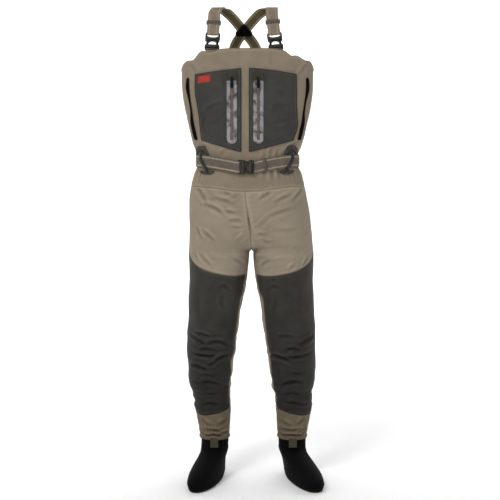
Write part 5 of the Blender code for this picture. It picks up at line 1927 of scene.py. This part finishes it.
def add_seams():
    """Double stitching, thin edge piping and the bound edges of the bib and cuffs."""
    yoke = YOKE_ROW * 2
    thigh = THIGH_ROW * 2
    shin = SHIN_ROW * 2
    top = TOP_ROW * 2
    seam = SEAM_COLUMN * 2
    tan_lines = []
    dark_lines = []
    for side, word in SIDES:
        tan_lines += [walk_row(side, yoke + step) for step in (1, -1)]
        tan_lines.append(walk_row(side, thigh + 1))
        tan_lines.append(walk_column(side, 1, CROTCH_ROW * 2 + 2, yoke))
        tan_lines.append(walk_column(side, COLUMNS * 2 - 1, CROTCH_ROW * 2 + 2, yoke))
        tan_lines += [walk_column(side, seam + step, thigh, yoke) for step in (-1, 1)]
        tan_lines.append(walk_row(side, top - 1, 0, seam - 1))
        tan_lines.append(walk_row(side, top - 2, seam + 1, COLUMNS * 2))
        dark_lines += [walk_row(side, row, 0, COLUMNS * 2 - 1) for row in (3, 4, 7)]
        dark_lines.append(walk_row(side, thigh - 1, GUSSET_FRONT * 2, GUSSET_BACK * 2))
        dark_lines.append(walk_row(side, shin + 1, GUSSET_FRONT * 2, GUSSET_BACK * 2))
        dark_lines.append(walk_column(side, GUSSET_FRONT * 2 + 1, shin, thigh))
        dark_lines.append(walk_column(side, GUSSET_BACK * 2 - 1, shin, thigh))
        tube(f"thigh_piping_{word}", lifted(walk_row(side, thigh), 0.0009), 0.0008, "piping",
             "root")
        tube(f"shin_piping_{word}", lifted(walk_row(side, shin), 0.0009), 0.0008, "dark_tape",
             "root")
        for column, key in ((GUSSET_FRONT * 2, "front"), (GUSSET_BACK * 2, "back")):
            line = lifted(walk_column(side, column, shin, thigh), 0.0008)
            tube(f"gusset_{key}_piping_{word}", line, 0.0008, "piping", "root")
        tube(f"cuff_edge_{word}", lifted(walk_row(side, 0, 0, COLUMNS * 2 - 1), -0.0004), 0.0013,
             "cuff_tape", "root", True)
        tube(f"bib_side_seam_{word}",
             lifted(walk_column(side, seam, yoke, top - 1), 0.0002), 0.0008, "tape", "root")
    stitches("tan_seam_stitches", tan_lines, "thread", "root")
    stitches("dark_seam_stitches", dark_lines, "dark_thread", "root")
    left = walk_row(1, top)
    right = walk_row(-1, top)
    ring = lifted(left, -0.0004) + lifted((right[0][::-1], right[1][::-1]), -0.0004)[1:-1]
    tube("bib_edge_binding", ring, 0.0015, "tape", "root", True, 8)


for side_sign, side_word in SIDES:
    add_pocket(side_sign, side_word)
    add_zip(side_sign, side_word)
    add_handwarmer(side_sign, side_word)
    add_bootie(side_sign, side_word)
    add_hook_tab(side_sign, side_word)
add_patch()
add_seams()


# Floor, light and camera

def add_stage():
    """A plain pale floor, flat for six metres round the waders and curving up to a wall."""
    rows = []
    for reach, z in ((0.02, 0.0), (3.0, 0.0), (6.0, 0.0), (6.6, 0.06), (7.1, 0.30), (7.4, 0.8),
                     (7.5, 1.6), (7.5, 4.0), (7.5, 8.0)):
        rows.append([Vector((reach * math.cos(angle), reach * math.sin(angle), z - 0.0005))
                     for angle in np.linspace(0, 2 * math.pi, 64, endpoint=False)])
    mesh = grid_mesh("floor", rows, True, None, True)
    shape = bmesh.new()
    shape.from_mesh(mesh)
    shape.verts.ensure_lookup_table()
    shape.faces.new([shape.verts[i] for i in range(64)])
    bmesh.ops.recalc_face_normals(shape, faces=shape.faces)
    shape.to_mesh(mesh)
    shape.free()
    floor = bpy.data.objects.new("floor", mesh)
    bpy.context.scene.collection.objects.link(floor)
    made, tree = new_material("plain_floor", (0.93, 0.93, 0.93), 0.9)
    shader = tree.nodes[PRINCIPLED]
    shader.inputs["Emission Color"].default_value = (1, 1, 1, 1)
    shader.inputs["Emission Strength"].default_value = 0.06
    mesh.materials.append(made)
    mesh.shade_smooth()


def add_light(name, place, aim, size, power):
    lamp = bpy.data.lights.new(name, "AREA")
    lamp.shape = "RECTANGLE"
    lamp.size, lamp.size_y = size
    lamp.energy = power
    made = bpy.data.objects.new(name, lamp)
    bpy.context.scene.collection.objects.link(made)
    made.location = place
    made.rotation_euler = (Vector(aim) - Vector(place)).to_track_quat("-Z", "Y").to_euler()


def add_camera(place, pitch, lens):
    data = bpy.data.cameras.new("camera")
    data.lens = lens
    data.sensor_width = 36
    made = bpy.data.objects.new("camera", data)
    bpy.context.scene.collection.objects.link(made)
    made.location = place
    made.rotation_euler = (math.radians(90 - pitch), 0, 0)
    bpy.context.scene.camera = made


add_stage()
add_light("key", (-1.7, -2.9, 3.6), (0, 0, 0.85), (1.2, 1.2), 80)
add_light("fill", (2.8, -2.6, 1.6), (0, 0, 0.75), (2.2, 2.6), 9)
add_light("low_front", (0.2, -4.2, 0.5), (0, 0, 0.5), (2.6, 1.2), 5)
add_light("rim", (0.4, 3.0, 3.2), (0, 0, 0.9), (3.0, 1.5), 40)
add_light("backdrop", (0, 3.6, 5.0), (0, 7.0, 1.2), (9.0, 1.5), 330)
world = bpy.data.worlds.new("soft_room")
world.use_nodes = True
sky = world.node_tree.nodes["Background"]
sky.inputs["Color"].default_value = (1, 1, 1, 1)
sky.inputs["Strength"].default_value = 0.22
bpy.context.scene.world = world
bpy.context.scene.view_settings.view_transform = "Standard"
add_camera((-0.006, -3.69, 1.05), 5.0, 85.3)
